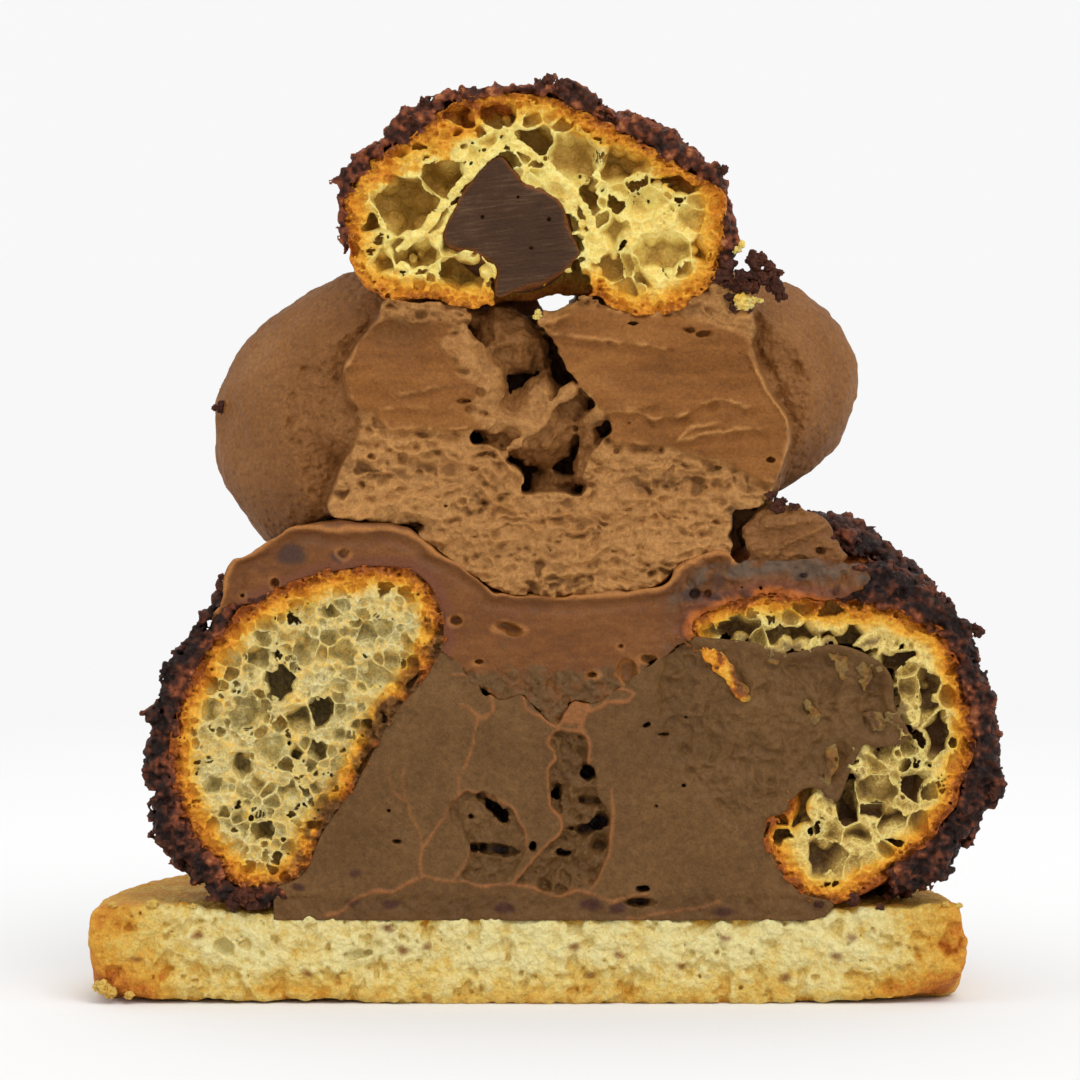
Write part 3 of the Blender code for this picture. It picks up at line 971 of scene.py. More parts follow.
def air_cells(block, puff, inside, rim):
    """The open air in a puff, positive in it, and its fine pores alone.

    Inside is how far a place is under the surface, and rim is 1 there and 0 where the bake ends.
    """
    count = inside.shape[1]
    uneven = face_grain(block, 2.6, puff.seed + 2, count=3)
    thick = block.sheet(WALL * (1 + 0.7 * uneven))
    deeper = 0.8 * ease(face_grain(block, 3.4, puff.seed + 7, count=2) + 0.4)
    reach = block.sheet(puff.cell * (puff.deep + deeper))
    broad, first, seat = cells(block, puff.cell, puff.seed, count, 0.6, 1.0, puff.big)
    fine, near, fine_seat = cells(block, PORE, puff.seed + 1, count, 0.5, 1.3)
    rounded = merged(broad - thick, 0.55 * puff.cell - first, 0.35)
    void = np.where(seat < reach, rounded - 0.3 * rim, -1.0)
    opening = 0.16 + 0.3 * rim + 0.15 * block.sheet(uneven)
    pores = np.where(fine_seat < opening, merged(fine - 0.03, 0.3 - near, 0.2), -1.0)
    return np.minimum(np.maximum(void, pores), inside - 0.14), pores


def add_flaps(block, puff, field, pores, rough):
    """The field with a puff's loose scraps of crumb, thin and full of pores."""
    loose = np.full(block.face[0].shape, BAND)
    for points in puff.flaps:
        loose = np.minimum(loose, outline(wavy(block, 0.8, 0.35, puff.seed + 14), points))
    thin = np.maximum(block.sheet(loose), abs(block.back() - 0.5) - 0.7 + 4 * rough)
    field = np.minimum(field, thin)
    count = pores.shape[1]
    holes = np.where(loose[:, None, :] < 0.2, pores - 0.05, -1.0)
    field[:, :count] = np.maximum(field[:, :count], holes)
    return field


def crumb_relief(block, puff, rim):
    """How a torn crumb's face dips, most in its flaky crust."""
    tears = face_grain(block, 1.1, puff.seed + 5, count=4, fade=0.7)
    flakes = face_grain(block, 0.9, puff.seed + 6, count=3, fade=0.75, stretch=(2, 1), pointed=True)
    folds = face_grain(block, 2.4, puff.seed + 13, count=3, fade=0.6, pointed=True)
    crust = rim[:, 0] * (0.1 + 0.24 * tears + 0.3 * flakes)
    return 0.12 + 0.2 * folds + 0.2 * tears + 0.08 * flakes + crust


def puff_marks(block, name, puff, shape, opening):
    """Where a puff is toasted, where shade is painted in its hollows, or where it is stained by what it
    leans on.
    """
    baked = 0.88 if name == "top" else 1.1
    toast = baked * np.clip(1 - (-shape - 0.05) / (1.5 * puff.rim), 0, 1)
    # Painted shade: the further behind the cut, the darker the crumb.
    hollow = np.broadcast_to(ease((block.back() - 0.15) / 2.4), shape.shape)
    blots = face_grain(block, 1.2, puff.seed + 8, count=3)
    for strength, radius, line in puff.browned:
        near = from_line(wavy(block, 1.2, 0.3, puff.seed + 12), line)
        line_toast = (strength + 0.2 * blots) * ease(1.5 - near / radius)
        toast = np.maximum(toast, block.sheet(line_toast))
    marks = {"toast": toast, "hollow": hollow}
    x, z = block.face
    inside = -shape[:, 0]
    if name == "left":
        # The side that leans on the filling has soaked some of it up.
        soaked = ease((x - 0.5 * z - 2.8) / 2.5) * ease(1.2 - inside / 2.4)
        marks["stain"] = block.sheet(0.9 * soaked * ease(0.55 + 1.2 * blots)) * near_cut(block, 6.0)
    if name == "right":
        # The filling stains the edge that it runs over, and it sticks to the scraps.
        stain = 0.85 * ease(0.9 - opening / 0.9 + 1.4 * blots) * ease(inside / 1.5 - 1)
        scrap = ease((-opening - 0.2) / 0.3)
        scrap_toast = (0.75 - 0.03 * (x + 8) + 0.5 * blots) * scrap
        marks["toast"] = np.maximum(toast, block.sheet(scrap_toast))
        marks["stain"] = np.maximum(stain, scrap * ease(0.1 + blots + x / 20))
    return marks


def make_puff(name, puff, finish):
    """A cut puff: its outline, its air cells, and what was drawn on it."""
    block = Block(puff.node, step=0.14, fine=3.6)
    section = outline(wavy(block, 1.6, 0.26, puff.seed), puff.cut)
    shape = drawn_to(block, solid(block), section, PUFF_REACH[name])
    shape += 0.3 * ease((block.back() - 0.5) / 3) * block_grain(block, 3.0, puff.seed, count=3)
    opening = open_part(block, puff, name)
    count = np.searchsorted(block.d, CELLS_END)
    inside = -shape[:, :count]
    rim = ease((puff.rim - inside) / puff.rim)
    carved, pores = air_cells(block, puff, inside, rim)
    front = ease(3 - block.back() / 3)
    field = np.maximum(shape, -block.sheet(opening) * front - BAND * (1 - front))
    field[:, :count] = np.maximum(field[:, :count], carved)
    rough = 0.14 * block_grain(block, 0.7, puff.seed + 9, count=3)
    for radius, depth, line in puff.strands:
        beads(block, field, line, radius, depth, True, rough)
    for radius, line in puff.slits:
        beads(block, field, line, radius, 0.3, False, rough)
    if puff.flaps:
        field = add_flaps(block, puff, field, pores, rough)
    field = faced(block, field, crumb_relief(block, puff, rim))
    marks = puff_marks(block, name, puff, shape, opening)
    return piece(f"choux_{name}_crumb", block, field, finish, "crumb", marks)


# The craquelins on the cut.
CRUSTS = {
    "left": (
        (6.5, 14.7), (3.2, 15.1), (-0.6, 12.4), (-2.7, 10.4), (-5.7, 6.2), (-7.2, 1.7), (-8.8, -3.5),
        (-8.0, -6.2), (-7.4, -10.2), (-5.0, -13.4), (-1.0, -16.7), (2.5, -17.2), (4.5, -16.0),
        (0.5, -11.6), (-1.8, -3.4), (0.5, 4.7), (5.0, 10.2),
    ),
    "right": (
        (-2.2, 11.2), (-1.1, 13.1), (3.0, 12.7), (7.5, 9.9), (9.7, 7.2), (10.7, 3.5), (11.9, 1.2),
        (12.5, -2.1), (12.3, -4.9), (12.9, -7.6), (10.9, -10.2), (8.5, -12.9), (7.6, -15.3), (4.5, -16.3),
        (2.7, -15.6), (3.8, -12.5), (6.4, -8.1), (7.7, 1.0), (3.6, 6.4), (-0.9, 8.1),
    ),
    "top": (
        (-18.7, -3.9), (-18.6, -1.6), (-17.2, 0.8), (-15.0, 2.4), (-13.7, 3.9), (-11.7, 5.2), (-8.3, 6.6),
        (-5.4, 7.4), (-1.0, 7.8), (0.8, 8.5), (4.6, 6.5), (5.9, 4.7), (8.2, 4.2), (11.3, 3.7), (14.3, 0.9),
        (16.1, -0.1), (17.1, -3.3), (17.7, -6.0), (17.4, -8.5), (16.5, -10.3), (15.6, -9.2), (15.6, -2.9),
        (1.9, 2.6), (-14.5, -1.1), (-16.6, -5.5), (-17.6, -7.5),
    ),
}


CRUST_SEEDS = {"left": 54, "right": 55, "back": 54, "top": 53}


def make_craquelin(name, finish):
    """The dark sugar crust over a puff: clods and grains, broken off along the cut."""
    block = Block(f"craquelin_{name}", step=0.18 if name in CRUSTS else 0.24, fine=2.5)
    seed = CRUST_SEEDS[name]
    shape = solid(block)
    if name in CRUSTS:
        keep_off = -puff_section(block, name) - 0.35
        if name != "top":
            keep_off = np.maximum(keep_off, -0.4 - outline(face_from(block, "milk_cream_layer"), LAYER_CUT))
        section = outline(wavy(block, 0.9, 0.45, seed + 3), CRUSTS[name])
        shape = drawn_to(block, shape, np.maximum(section, keep_off), PUFF_REACH[name])
    clods = block_grain(block, 2.2, seed, count=4, fade=0.65)
    _, lumps, _ = cells(block, 1.3, seed + 1, len(block.d), 0.5)
    _, grains, _ = cells(block, 0.6, seed + 2, len(block.d), 0.4)
    lumps = np.clip(1 - ((lumps + 0.2) / 0.75) ** 2, -0.9, 1)
    grains = np.clip(1 - ((grains + 0.1) / 0.34) ** 2, -0.9, 1)
    shape = shape + 0.28 - 0.45 * clods - 0.22 * lumps - 0.3 * grains
    relief = 0.15 + 0.35 * face_grain(block, 1.5, seed + 7, count=4, fade=0.7)
    if name in CRUSTS:
        shape = np.maximum(shape, block.sheet(np.clip(keep_off, -BAND, BAND)) - block.back())
        at_cut = np.searchsorted(block.d, 0.2)
        relief -= 0.2 * lumps[:, at_cut] + 0.24 * grains[:, at_cut]
    field = faced(block, shape, relief)
    # The warm mark is partly painted highlight on the tops of lumps and grains, partly real browning where
    # the crust is baked onto its puff.
    marks = {"warm": ease(0.25 + 0.35 * lumps + 0.4 * grains)}
    if name in CRUSTS:
        baked_on = ease(1.1 - puff_section(block, name) / 0.8)
        marks["warm"] += (0.1 if name == "top" else 0.35) * block.sheet(baked_on) * near_cut(block, 1.5)
    return piece(f"craquelin_{name}_crust", block, field, finish, "craquelin", marks)


def make_back_puff(finish):
    """The puff behind the cut, whose crust shows only where the craquelin ends."""
    block = Block("choux_back", step=0.35)
    field = solid(block) + 0.3 * block_grain(block, 3.0, 61, count=3)
    return piece("choux_back_crust", block, field, finish, "crumb", {"toast": np.full(field.shape, 0.75)})


# --- Creams -----------------------------------------------------------------------------------------

# The sliced middle of the piped crown, and the two parts of it that the knife left smooth.
SWIRL_CUT = (
    (-12.4, 12.7), (-14.4, 10.0), (-16.3, 7.8), (-17.5, 5.6), (-17.3, 3.9), (-16.0, 1.4), (-16.4, -0.9),
    (-18.7, -5.5), (-18.7, -7.6), (-15.8, -8.4), (-11.9, -8.7), (-9.9, -10.4), (-5.3, -13.6), (-0.6, -15.3),
    (9.4, -14.5), (13.3, -12.1), (16.4, -11.9), (17.6, -11.1), (17.9, -10.4), (17.3, -9.6), (17.7, -8.8),
    (17.8, -7.5), (19.4, -7.3), (21.0, -6.7), (21.2, -5.6), (22.2, -3.0), (22.9, -0.2),
    (20.9, 3.9), (19.3, 7.6), (19.6, 9.6), (16.9, 13.2), (2.1, 14.6),
)
LEFT_PLATE = (
    (-14.0, 10.1), (-16.1, 8.1), (-17.0, 6.2), (-17.8, 4.6), (-17.4, 3.7), (-16.1, 2.1), (-14.8, 1.6),
    (-13.7, 0.4), (-12.9, 0.0), (-10.0, 0.3), (-7.7, 0.0), (-5.1, 0.3), (-6.3, 1.6), (-5.6, 3.2),
    (-5.3, 4.0), (-6.4, 4.5), (-7.2, 5.1), (-8.0, 6.7), (-8.7, 7.8), (-8.0, 9.0), (-8.0, 10.0),
    (-10.0, 9.8), (-11.5, 9.6),
)
RIGHT_PLATE = (
    (1.2, 8.7), (2.0, 7.2), (2.8, 5.2), (3.6, 4.3), (4.9, 3.3), (6.2, 1.5), (6.8, 1.0), (6.9, -1.0),
    (10.8, -1.3), (14.1, -1.9), (17.3, -2.9), (19.8, -4.2), (21.8, -4.6), (22.4, -2.3), (22.7, 0.7),
    (21.1, 3.1), (20.1, 4.7), (19.1, 7.8), (18.0, 8.8), (13.4, 10.1), (9.2, 10.3), (4.3, 11.0), (1.8, 10.0),
)
# Raised lines on the crown's cut, each with a height.
CROWN_RIDGES = (
    (0.16, ((-14.0, 3.3), (-12.7, 3.2), (-11.5, 3.5), (-10.6, 3.7), (-9.5, 4.0), (-7.9, 4.0))),
    (0.14, ((-14.4, 1.9), (-12.9, 2.0), (-11.9, 2.2), (-10.6, 2.1), (-8.9, 1.9), (-7.7, 2.0))),
    (0.30, ((-14.5, 1.6), (-13.7, 0.4), (-12.9, 0.1), (-10.6, 0.4), (-8.6, 0.1), (-6.4, 0.3))),
    (0.22, ((-16.3, -0.9), (-14.4, -0.7), (-11.8, -1.8), (-10.6, -2.5), (-9.3, -3.1), (-7.7, -2.9),
            (-5.7, -3.2), (-4.8, -3.9), (-4.4, -4.5))),
    (0.25, ((-9.3, -0.7), (-8.7, -1.5), (-8.2, -2.3), (-7.7, -2.9))),
    (0.30, ((-6.1, -1.3), (-4.8, -1.3), (-3.4, -2.3), (-2.6, -3.2), (-1.6, -4.1), (-1.3, -5.1),
            (-1.0, -6.1))),
    (0.25, ((-5.0, -5.1), (-4.5, -6.0), (-3.5, -6.7), (-2.6, -7.1), (-1.3, -7.4))),
    (0.16, ((-15.8, -4.5), (-14.0, -4.5), (-11.2, -4.7), (-9.5, -4.9), (-6.0, -5.0))),
    (0.22, ((-16.0, -4.2), (-14.4, -3.8), (-12.9, -3.7))),
    (0.25, ((1.2, 8.7), (4.3, 8.5), (6.4, 8.2), (9.2, 7.8), (11.5, 7.5))),
    (0.35, ((5.6, 1.5), (6.6, 1.8), (9.2, 1.6), (10.5, 1.2), (11.8, 1.3), (13.4, 1.6), (14.7, 2.3),
            (15.9, 2.9))),
    (0.18, ((6.4, 2.2), (7.9, 2.1), (9.2, 2.0), (10.5, 2.5))),
    (0.22, ((15.9, 2.9), (17.0, 2.8), (18.0, 2.5), (18.8, 2.1), (19.4, 2.1))),
    (0.34, ((12.7, -0.9), (13.8, -0.7), (14.9, -0.3), (17.0, -0.1), (18.7, 0.3), (20.6, -0.1))),
    (0.24, ((12.7, -0.9), (13.6, 0.0), (14.7, 0.5), (16.7, 0.7))),
    (0.14, ((7.1, -1.0), (9.2, -1.2), (10.8, -1.3))),
    (0.24, ((10.0, -3.3), (12.1, -3.4), (14.1, -3.6), (15.7, -4.3), (18.2, -4.4), (21.4, -4.6))),
    (0.35, ((-0.6, -7.6), (1.8, -7.7), (4.3, -7.5), (5.9, -7.3), (6.4, -7.7))),
    (0.30, ((0.7, 9.6), (1.8, 10.1), (2.8, 10.4))),
    (0.30, ((19.1, 7.2), (20.1, 4.7), (21.1, 3.1), (22.4, 1.3), (22.6, -0.3), (22.4, -2.3), (21.8, -4.6))),
    (0.24, ((-14.0, 10.1), (-16.1, 8.1), (-17.0, 6.2), (-17.5, 5.6), (-17.8, 4.6), (-17.4, 3.7),
            (-16.1, 2.1))),
)
# Small holes in the crown: x, z, half width, half height.
CROWN_PITS = (
    (-11.9, 10.2, 0.36, 0.22), (-11.4, 10.9, 0.26, 0.17), (-10.0, 10.6, 0.36, 0.15),
    (-10.9, -1.6, 0.36, 0.26), (-9.6, -1.3, 0.51, 0.44), (-13.5, -1.8, 0.44, 0.26),
    (-14.5, -1.5, 0.17, 0.15), (-15.1, -2.3, 0.36, 0.29), (-12.2, -2.5, 0.5, 0.6),
    (-14.3, -3.4, 0.36, 0.29), (-10.7, -3.7, 0.51, 0.36), (-8.4, -3.7, 0.65, 0.58),
    (-5.8, -3.4, 0.58, 0.17), (-15.4, -5.2, 0.87, 0.5), (-12.2, -5.4, 1.02, 0.4), (-6.8, -6.4, 0.58, 0.44),
    (-8.3, -6.8, 0.22, 0.15), (-4.8, -7.0, 0.22, 0.17), (-6.4, -7.1, 0.26, 0.22), (-6.7, 2.7, 0.44, 0.20),
    (-5.1, 3.5, 0.44, 0.45), (-4.7, 1.5, 0.65, 0.29), (-6.0, 1.9, 0.44, 0.29), (-15.4, 0.0, 0.58, 0.44),
    (6.4, 8.0, 0.24, 0.20), (12.0, 7.2, 0.36, 0.23), (13.8, 9.1, 0.52, 0.29), (15.1, 8.8, 0.69, 0.36),
    (8.7, 9.7, 0.73, 0.15), (18.3, 7.0, 0.46, 0.16), (21.3, -2.7, 0.46, 0.33), (12.4, -2.8, 0.69, 0.36),
    (16.5, -3.4, 0.57, 0.23), (6.0, -3.6, 0.82, 0.5), (7.1, -1.9, 0.23, 0.20), (5.0, -5.0, 0.41, 0.29),
    (13.3, -4.7, 0.36, 0.49), (11.5, -6.2, 0.73, 0.3), (10.7, -5.0, 0.41, 0.33), (16.2, -6.3, 0.41, 0.29),
    (15.2, -5.2, 0.49, 0.16), (10.7, -7.9, 0.41, 0.33), (8.4, 0.7, 0.16, 0.15), (-17.3, 1.1, 0.73, 0.65),
    (-17.3, -2.9, 0.7, 0.7), (-25.6, 6.1, 0.45, 0.45), (-23.8, 1.4, 0.4, 0.35), (-19.7, -1.6, 0.4, 0.35),
    (24.2, 12.0, 0.5, 0.4), (27.2, 8.0, 0.4, 0.4), (21.2, -2.6, 0.3, 0.3),
)
# The hollow at the crown's middle.
CAVITY = (
    (-6.4, 12.2), (-6.1, 10.2), (-6.7, 9.1), (-5.9, 7.0), (-5.1, 5.3), (-4.6, 4.5), (-5.3, 2.3),
    (-4.8, 1.4), (-3.9, 1.1), (-4.4, 0.2), (-5.5, 0.2), (-6.1, -0.5), (-5.7, -1.2), (-4.4, -1.4),
    (-3.3, -2.2), (-2.6, -3.2), (-1.5, -4.1), (-1.2, -5.8), (-0.2, -5.7), (2.3, -5.8), (3.9, -6.0),
    (4.3, -5.4), (4.2, -4.1), (4.8, -2.9), (5.4, -1.6), (6.6, -0.5), (6.7, 1.0), (5.7, 1.7), (5.2, 2.8),
    (3.9, 3.9), (3.0, 5.3), (2.3, 6.6), (1.5, 8.2), (0.3, 9.8), (0.5, 10.8), (-0.1, 12.0), (-1.5, 12.6),
    (-4.2, 12.6),
)
# Ends of the piped cream in the cavity: x, z, depth of the front, half sizes, turn.
LOBES = (
    (-2.7, 8.2, 2.6, (4.2, 3.5, 2.5), -40),
    (-4.6, 2.8, 0.5, (2.2, 3.0, 4.5), 12),
    (-6.0, 7.2, 0.4, (1.0, 1.6, 1.8), 0),
    (-0.6, 1.4, 1.0, (4.0, 3.0, 2.5), 52),
    (1.5, 0.1, 2.4, (4.3, 3.0, 2.4), 55),
    (4.8, 1.0, 1.2, (0.6, 1.0, 0.5), 0),
    (5.5, 1.5, 0.1, (0.5, 0.8, 0.4), 0),
    (4.7, -0.6, 1.6, (0.9, 1.4, 1.3), 0),
    (4.4, -3.4, 2.0, (1.1, 1.6, 1.7), 0),
    (1.6, -4.9, 5.0, (1.9, 1.6, 1.1), 0),
    (-2.2, 4.2, 8.5, (5.5, 4.0, 6.0), 0),
)
LOBE_RIDGE = ((3.3, 3.8), (1.5, 2.3), (0.4, 0.7), (-1.1, -0.3), (-2.9, -2.3))
# The gap under the top puff, which goes right through.
WHITE_GAP = ((0.2, 11.3), (1.0, 12.1), (3.5, 12.2), (3.3, 11.7), (2.1, 11.3), (0.8, 10.7))
# The open crack between the crown and the flake.
GAP = (
    (21.6, -6.0), (21.4, -7.3), (20.2, -7.8), (19.7, -8.3), (18.8, -8.7), (18.4, -9.4), (18.8, -10.5),
    (18.9, -11.5), (18.5, -12.0), (18.0, -11.9), (17.6, -11.0), (17.9, -10.3), (17.9, -9.5), (17.8, -8.3),
    (17.8, -7.3), (18.6, -7.0), (19.7, -7.3), (20.6, -6.6),
)
# The thin crack at the crown's lower left.
CRACK = (
    (-18.2, -8.3), (-16.9, -8.8), (-15.8, -8.5), (-14.5, -8.8), (-13.2, -9.4), (-11.9, -9.1), (-10.9, -8.7),
)


def ridges(block, face, lines, seed):
    """Relief of raised uneven lines with a dip below each, and how near each place is to a crest."""
    relief = np.zeros(face[0].shape)
    crest = relief.copy()
    uneven = np.clip(0.75 + 0.9 * face_grain(block, 1.2, seed, count=3), 0.1, 1.6)
    for height, line in lines:
        near = ease(1 - from_line(face, line) / (0.16 + 0.12 * uneven))
        above = ease(1 - from_line((face[0], face[1] - 0.35), line) / 0.5)
        under = ease(1 - from_line((face[0], face[1] + 0.6), line) / 0.7)
        relief += height * (0.9 * under - uneven * near - 0.35 * above)
        crest = np.maximum(crest, near * np.minimum(uneven * height / 0.3, 1))
    return relief, crest


def rounding(section, reach, depth):
    """How far back a rounded edge falls, within reach of a section's outline."""
    return depth * (1 - np.clip(-section / reach, 0, 1)) ** 2


def pitted(block, size, seed, share):
    """A map of small broken bubbles: 1 in the open ones."""
    _, first, seat = cells(block, size, seed, 1, 0.6)
    return (ease((0.1 - first) / (0.35 * size)) * (seat < share * size))[:, 0]


# Broad dips in the plates: x, z, half width, half height, depth.
SCOOPS = (
    (-12.0, 8.6, 3.4, 2.0, 1.7), (9.0, 5.2, 7.0, 2.4, 0.6), (17.5, -2.2, 3.0, 1.1, 0.3),
    (-11.0, 1.1, 3.0, 0.7, 0.25), (8.6, 0.2, 2.0, 0.9, 0.25), (17.5, 5.0, 2.0, 2.2, 0.3),
    (13.0, 0.6, 3.0, 0.8, 0.2),
)
CAVITY_DEPTH = 14.0
GAP_DEPTH = 6.0
THROUGH = 40.0  # deeper than the whole crown


def smooth_cream(block, face):
    """The relief of cream that a knife smoothed, and its broad dips alone."""
    brush = face_grain(block, 0.9, 69, count=3, stretch=(5, 1))
    scoops = np.zeros(face[0].shape)
    for x, z, wide, high, depth in SCOOPS:
        scoops += depth * np.exp(-(((face[0] - x) / wide) ** 2) - ((face[1] - z) / high) ** 2)
    patchy = 0.09 * brush + 0.2 * face_grain(block, 3.0, 67, count=4, fade=0.6)
    return bent(block, patchy, 3.0, 0.8, 58) + scoops, scoops


def torn_cream(block, flakes):
    """The relief of torn cream: flaked and streaked, with gashes and broken bubbles."""
    streaks = face_grain(block, 1.0, 73, count=3, fade=0.7, stretch=(5, 1), pointed=True)
    gashes = ease((face_grain(block, 1.4, 63, count=5, fade=0.75, stretch=(3.0, 1)) - 0.95) / 0.3)
    sandy = face_grain(block, 0.42, 62, count=2, fade=0.8, stretch=(1.7, 1))
    foam = ease(0.4 + face_grain(block, 4.0, 68, count=2))
    holes = np.maximum(pitted(block, 1.1, 75, 0.03), pitted(block, 0.6, 76, 0.02) * 0.6)
    swells = face_grain(block, 2.2, 60, count=2, stretch=(2.5, 1))
    tatters = 0.3 + 0.3 * streaks + 0.26 * flakes + 0.06 * sandy + 0.2 * swells + 0.6 * gashes
    tatters = bent(block, tatters + holes * (0.2 + 0.6 * foam), 2.2, 0.5, 57)
    return bent(block, tatters, 0.7, 0.2, 56)


def piped_cream(block, heart, at_cut):
    """The relief of the petals, which start behind the cut's edge and round off to their silhouette."""
    silhouette = np.clip(-at_cut, 0, BAND)
    fold = np.exp(-((heart / 1.2) ** 2))
    peel = face_grain(block, 1.1, 77, count=4, fade=0.75)
    dimples = pitted(block, 1.1, 61, 0.14)
    grooves = face_grain(block, 3.0, 66, count=3, stretch=(1, 2.2))
    petals = 0.5 + 0.8 * fold + 2.2 * (1 - silhouette / BAND) ** 2
    petals += 0.22 * peel + 0.35 * grooves + 0.4 * dimples
    return petals


def open_crown(block, field):
    """The crown with its hollow, the ends of piped cream in it, its pits, its gap and its crack."""
    bumpy = 0.16 * block_grain(block, 1.1, 78, count=3, fade=0.6)
    cavity = outline(wavy(block, 0.9, 0.25, 80), CAVITY)
    floor = block.back() - CAVITY_DEPTH + 4 * bumpy
    field = np.maximum(field, -np.maximum(block.sheet(cavity), floor))
    creased = bumpy + 0.35 * block_grain(block, 2.4, 55, count=3, stretch=(1, 2, 1), pointed=True)
    for x, z, front, half, turn in LOBES:
        stamp(block, field, (x, front + half[1], z), half, turn, True, 0.8, creased)
    beads(block, field, LOBE_RIDGE, 0.4, 1.3, True, bumpy * 1.6)
    for x, z, wide, high in CROWN_PITS:
        stamp(block, field, (x, 0.1, z), (wide, 1.0, high), 0, rough=bumpy)
    for points, depth in ((WHITE_GAP, THROUGH), (GAP, GAP_DEPTH)):
        opening = block.sheet(outline(wavy(block, 0.9, 0.3, 65), points))
        field = np.maximum(field, -np.maximum(opening, block.back() - depth))
    return field


def make_cream(finish):
    """The crown of whipped cream: smooth plates and torn parts on the cut, and piped petals round it."""
    block = Block("whipped_cream", step=0.15, fine=2.6)
    face = wavy(block, 2.0, 0.15, 71)
    shape = solid(block)
    at_cut = shape[:, np.searchsorted(block.d, 0.0), :]
    heart = outline(face, SWIRL_CUT)
    under_puff = -outline(face_from(block, "choux_top"), PUFFS["top"].cut) - 0.1
    shape = drawn_to(block, shape, np.maximum(np.minimum(at_cut, heart), under_puff), 3.5)
    lumpy = 0.12 * block_grain(block, 2.5, 72, count=4, fade=0.65)
    shape += lumpy + 0.07 * block_grain(block, 0.9, 59, count=2)
    ragged = wavy(block, 0.7, 0.12, 79)
    plates = np.minimum(outline(ragged, LEFT_PLATE), outline(ragged, RIGHT_PLATE))
    torn = ease(plates / 0.35 + 0.3)
    flakes = face_grain(block, 0.6, 74, count=3, fade=0.7, stretch=(2.2, 1), pointed=True)
    smooth, scoops = smooth_cream(block, face)
    tatters = torn_cream(block, flakes)
    relief = 0.10 + (1 - torn) * smooth
    relief += torn * tatters
    relief += torn * 0.22 * ease(1 - abs(plates - 0.5) / 0.6)
    # Painted highlight: the proud parts of the torn cream are marked to come out paler.
    raised_highlight = torn * ease((0.34 - relief) / 0.25)
    lines, crest = ridges(block, ragged, CROWN_RIDGES, 64)
    relief += lines
    relief += 2.6 * ease(1 - from_line(ragged, CRACK) / (0.5 + 0.25 * flakes))
    petal = ease(heart / 0.5 + 0.2)
    relief = relief * (1 - petal) + petal * piped_cream(block, heart, at_cut)
    field = open_crown(block, faced(block, shape, relief))
    inner = 0.8 * ease((block.back() - 0.6) / 1.4)
    edge = block.sheet(np.maximum(crest, 0.45 * raised_highlight) * (1 - petal))
    # Painted shade: deep in the cavity, inside the gap by the flake, in the torn cream's pits and in the
    # left plate's scoop.
    shade = block.sheet(ease(0.2 - outline(block.face, CAVITY))) * ease((block.back() - 4) / 6)
    crack = block.sheet(ease(0.9 - outline(block.face, GAP))) * ease((block.back() - 0.4) / 1.2)
    dusk = 0.3 * torn * ease((tatters - 0.6) / 0.5) + 0.16 * (1 - torn) * ease(scoops - 0.3)
    dusk = block.sheet(dusk * (1 - petal)) * near_cut(block, 2.5)
    deep = np.maximum(shade * near_cut(block, CAVITY_DEPTH), crack * near_cut(block, GAP_DEPTH))
    marks = {
        "torn": torn * (1 - petal),
        "petal": np.maximum(block.sheet(petal), inner),
        "edge": edge * near_cut(block, 2.5),
        "shade": deep + dusk,
    }
    return piece("whipped_cream_crown", block, field, finish, "cream", marks)


# The cream layer on the cut, and the line that its lip follows.
LAYER_CUT = (
    (-31.0, -2.7), (-30.5, -1.6), (-29.8, -0.7), (-29.0, 0.1), (-28.6, 1.1), (-28.9, 2.2), (-28.2, 4.2),
    (-26.4, 4.6), (-24.3, 6.2), (-22.5, 7.1), (-19.8, 7.6), (-16.4, 7.5), (-12.4, 7.2), (-10.4, 5.6),
    (-5.9, 2.4), (-3.7, 1.0), (-1.0, 0.7), (8.9, 1.5), (11.3, 2.2), (12.7, 3.9), (16.0, 4.9), (17.8, 4.0),
    (20.4, 4.1), (23.4, 4.2), (26.0, 4.4), (28.0, 3.6), (29.4, 3.4), (29.8, 2.2), (28.4, 1.2), (26.2, 0.4),
    (20.7, 0.4), (15.3, -1.0), (13.5, -3.2), (8.9, -6.3), (5.3, -8.9), (2.8, -9.0), (1.3, -11.2),
    (-1.8, -8.5), (-3.8, -8.8), (-6.5, -6.9), (-8.7, -4.6), (-12.8, 0.4), (-21.9, 1.3), (-25.4, 0.4),
    (-28.3, -0.3), (-29.6, -1.4), (-30.3, -2.7),
)
LIP_LINE = (
    (-29.6, -0.6), (-28.8, 0.9), (-28.6, 2.0), (-28.2, 3.7), (-27.4, 4.4), (-25.9, 4.8), (-23.7, 6.6),
    (-21.4, 7.1), (-18.5, 6.9), (-14.7, 6.9), (-12.3, 6.5), (-9.8, 4.9), (-7.0, 3.3), (-5.4, 2.2),
    (-4.2, 1.2), (-2.8, 0.8), (-0.2, 1.0), (3.1, 0.9), (6.4, 1.0), (10.4, 1.6), (11.8, 2.5), (13.0, 3.7),
    (14.7, 4.4), (16.5, 4.7), (17.3, 4.0),
)
# Burst bubbles in the layer: x, z, half width, half height, turn.
LAYER_BUBBLES = (
    (-3.0, -2.2, 1.37, 0.55, -20), (-7.8, -1.4, 0.59, 0.47, 0), (7.8, -6.1, 0.9, 1.2, 15),
    (7.2, -3.8, 0.28, 0.24, 0), (23.8, 2.7, 0.53, 0.24, 0), (13.9, 1.0, 0.6, 0.5, 30),
    (15.0, 1.0, 0.4, 0.35, 0), (18.1, 1.6, 0.19, 0.13, 0), (19.9, 1.5, 0.19, 0.13, 0),
    (-18.0, 4.7, 0.7, 0.45, 20), (-24.2, 2.0, 0.35, 0.45, 0), (-27.1, 0.8, 0.3, 0.25, 0),
    (9.6, -5.0, 0.9, 0.4, 0), (4.6, -6.4, 0.5, 0.25, 0), (-5.8, -5.2, 0.4, 0.2, 0),
)
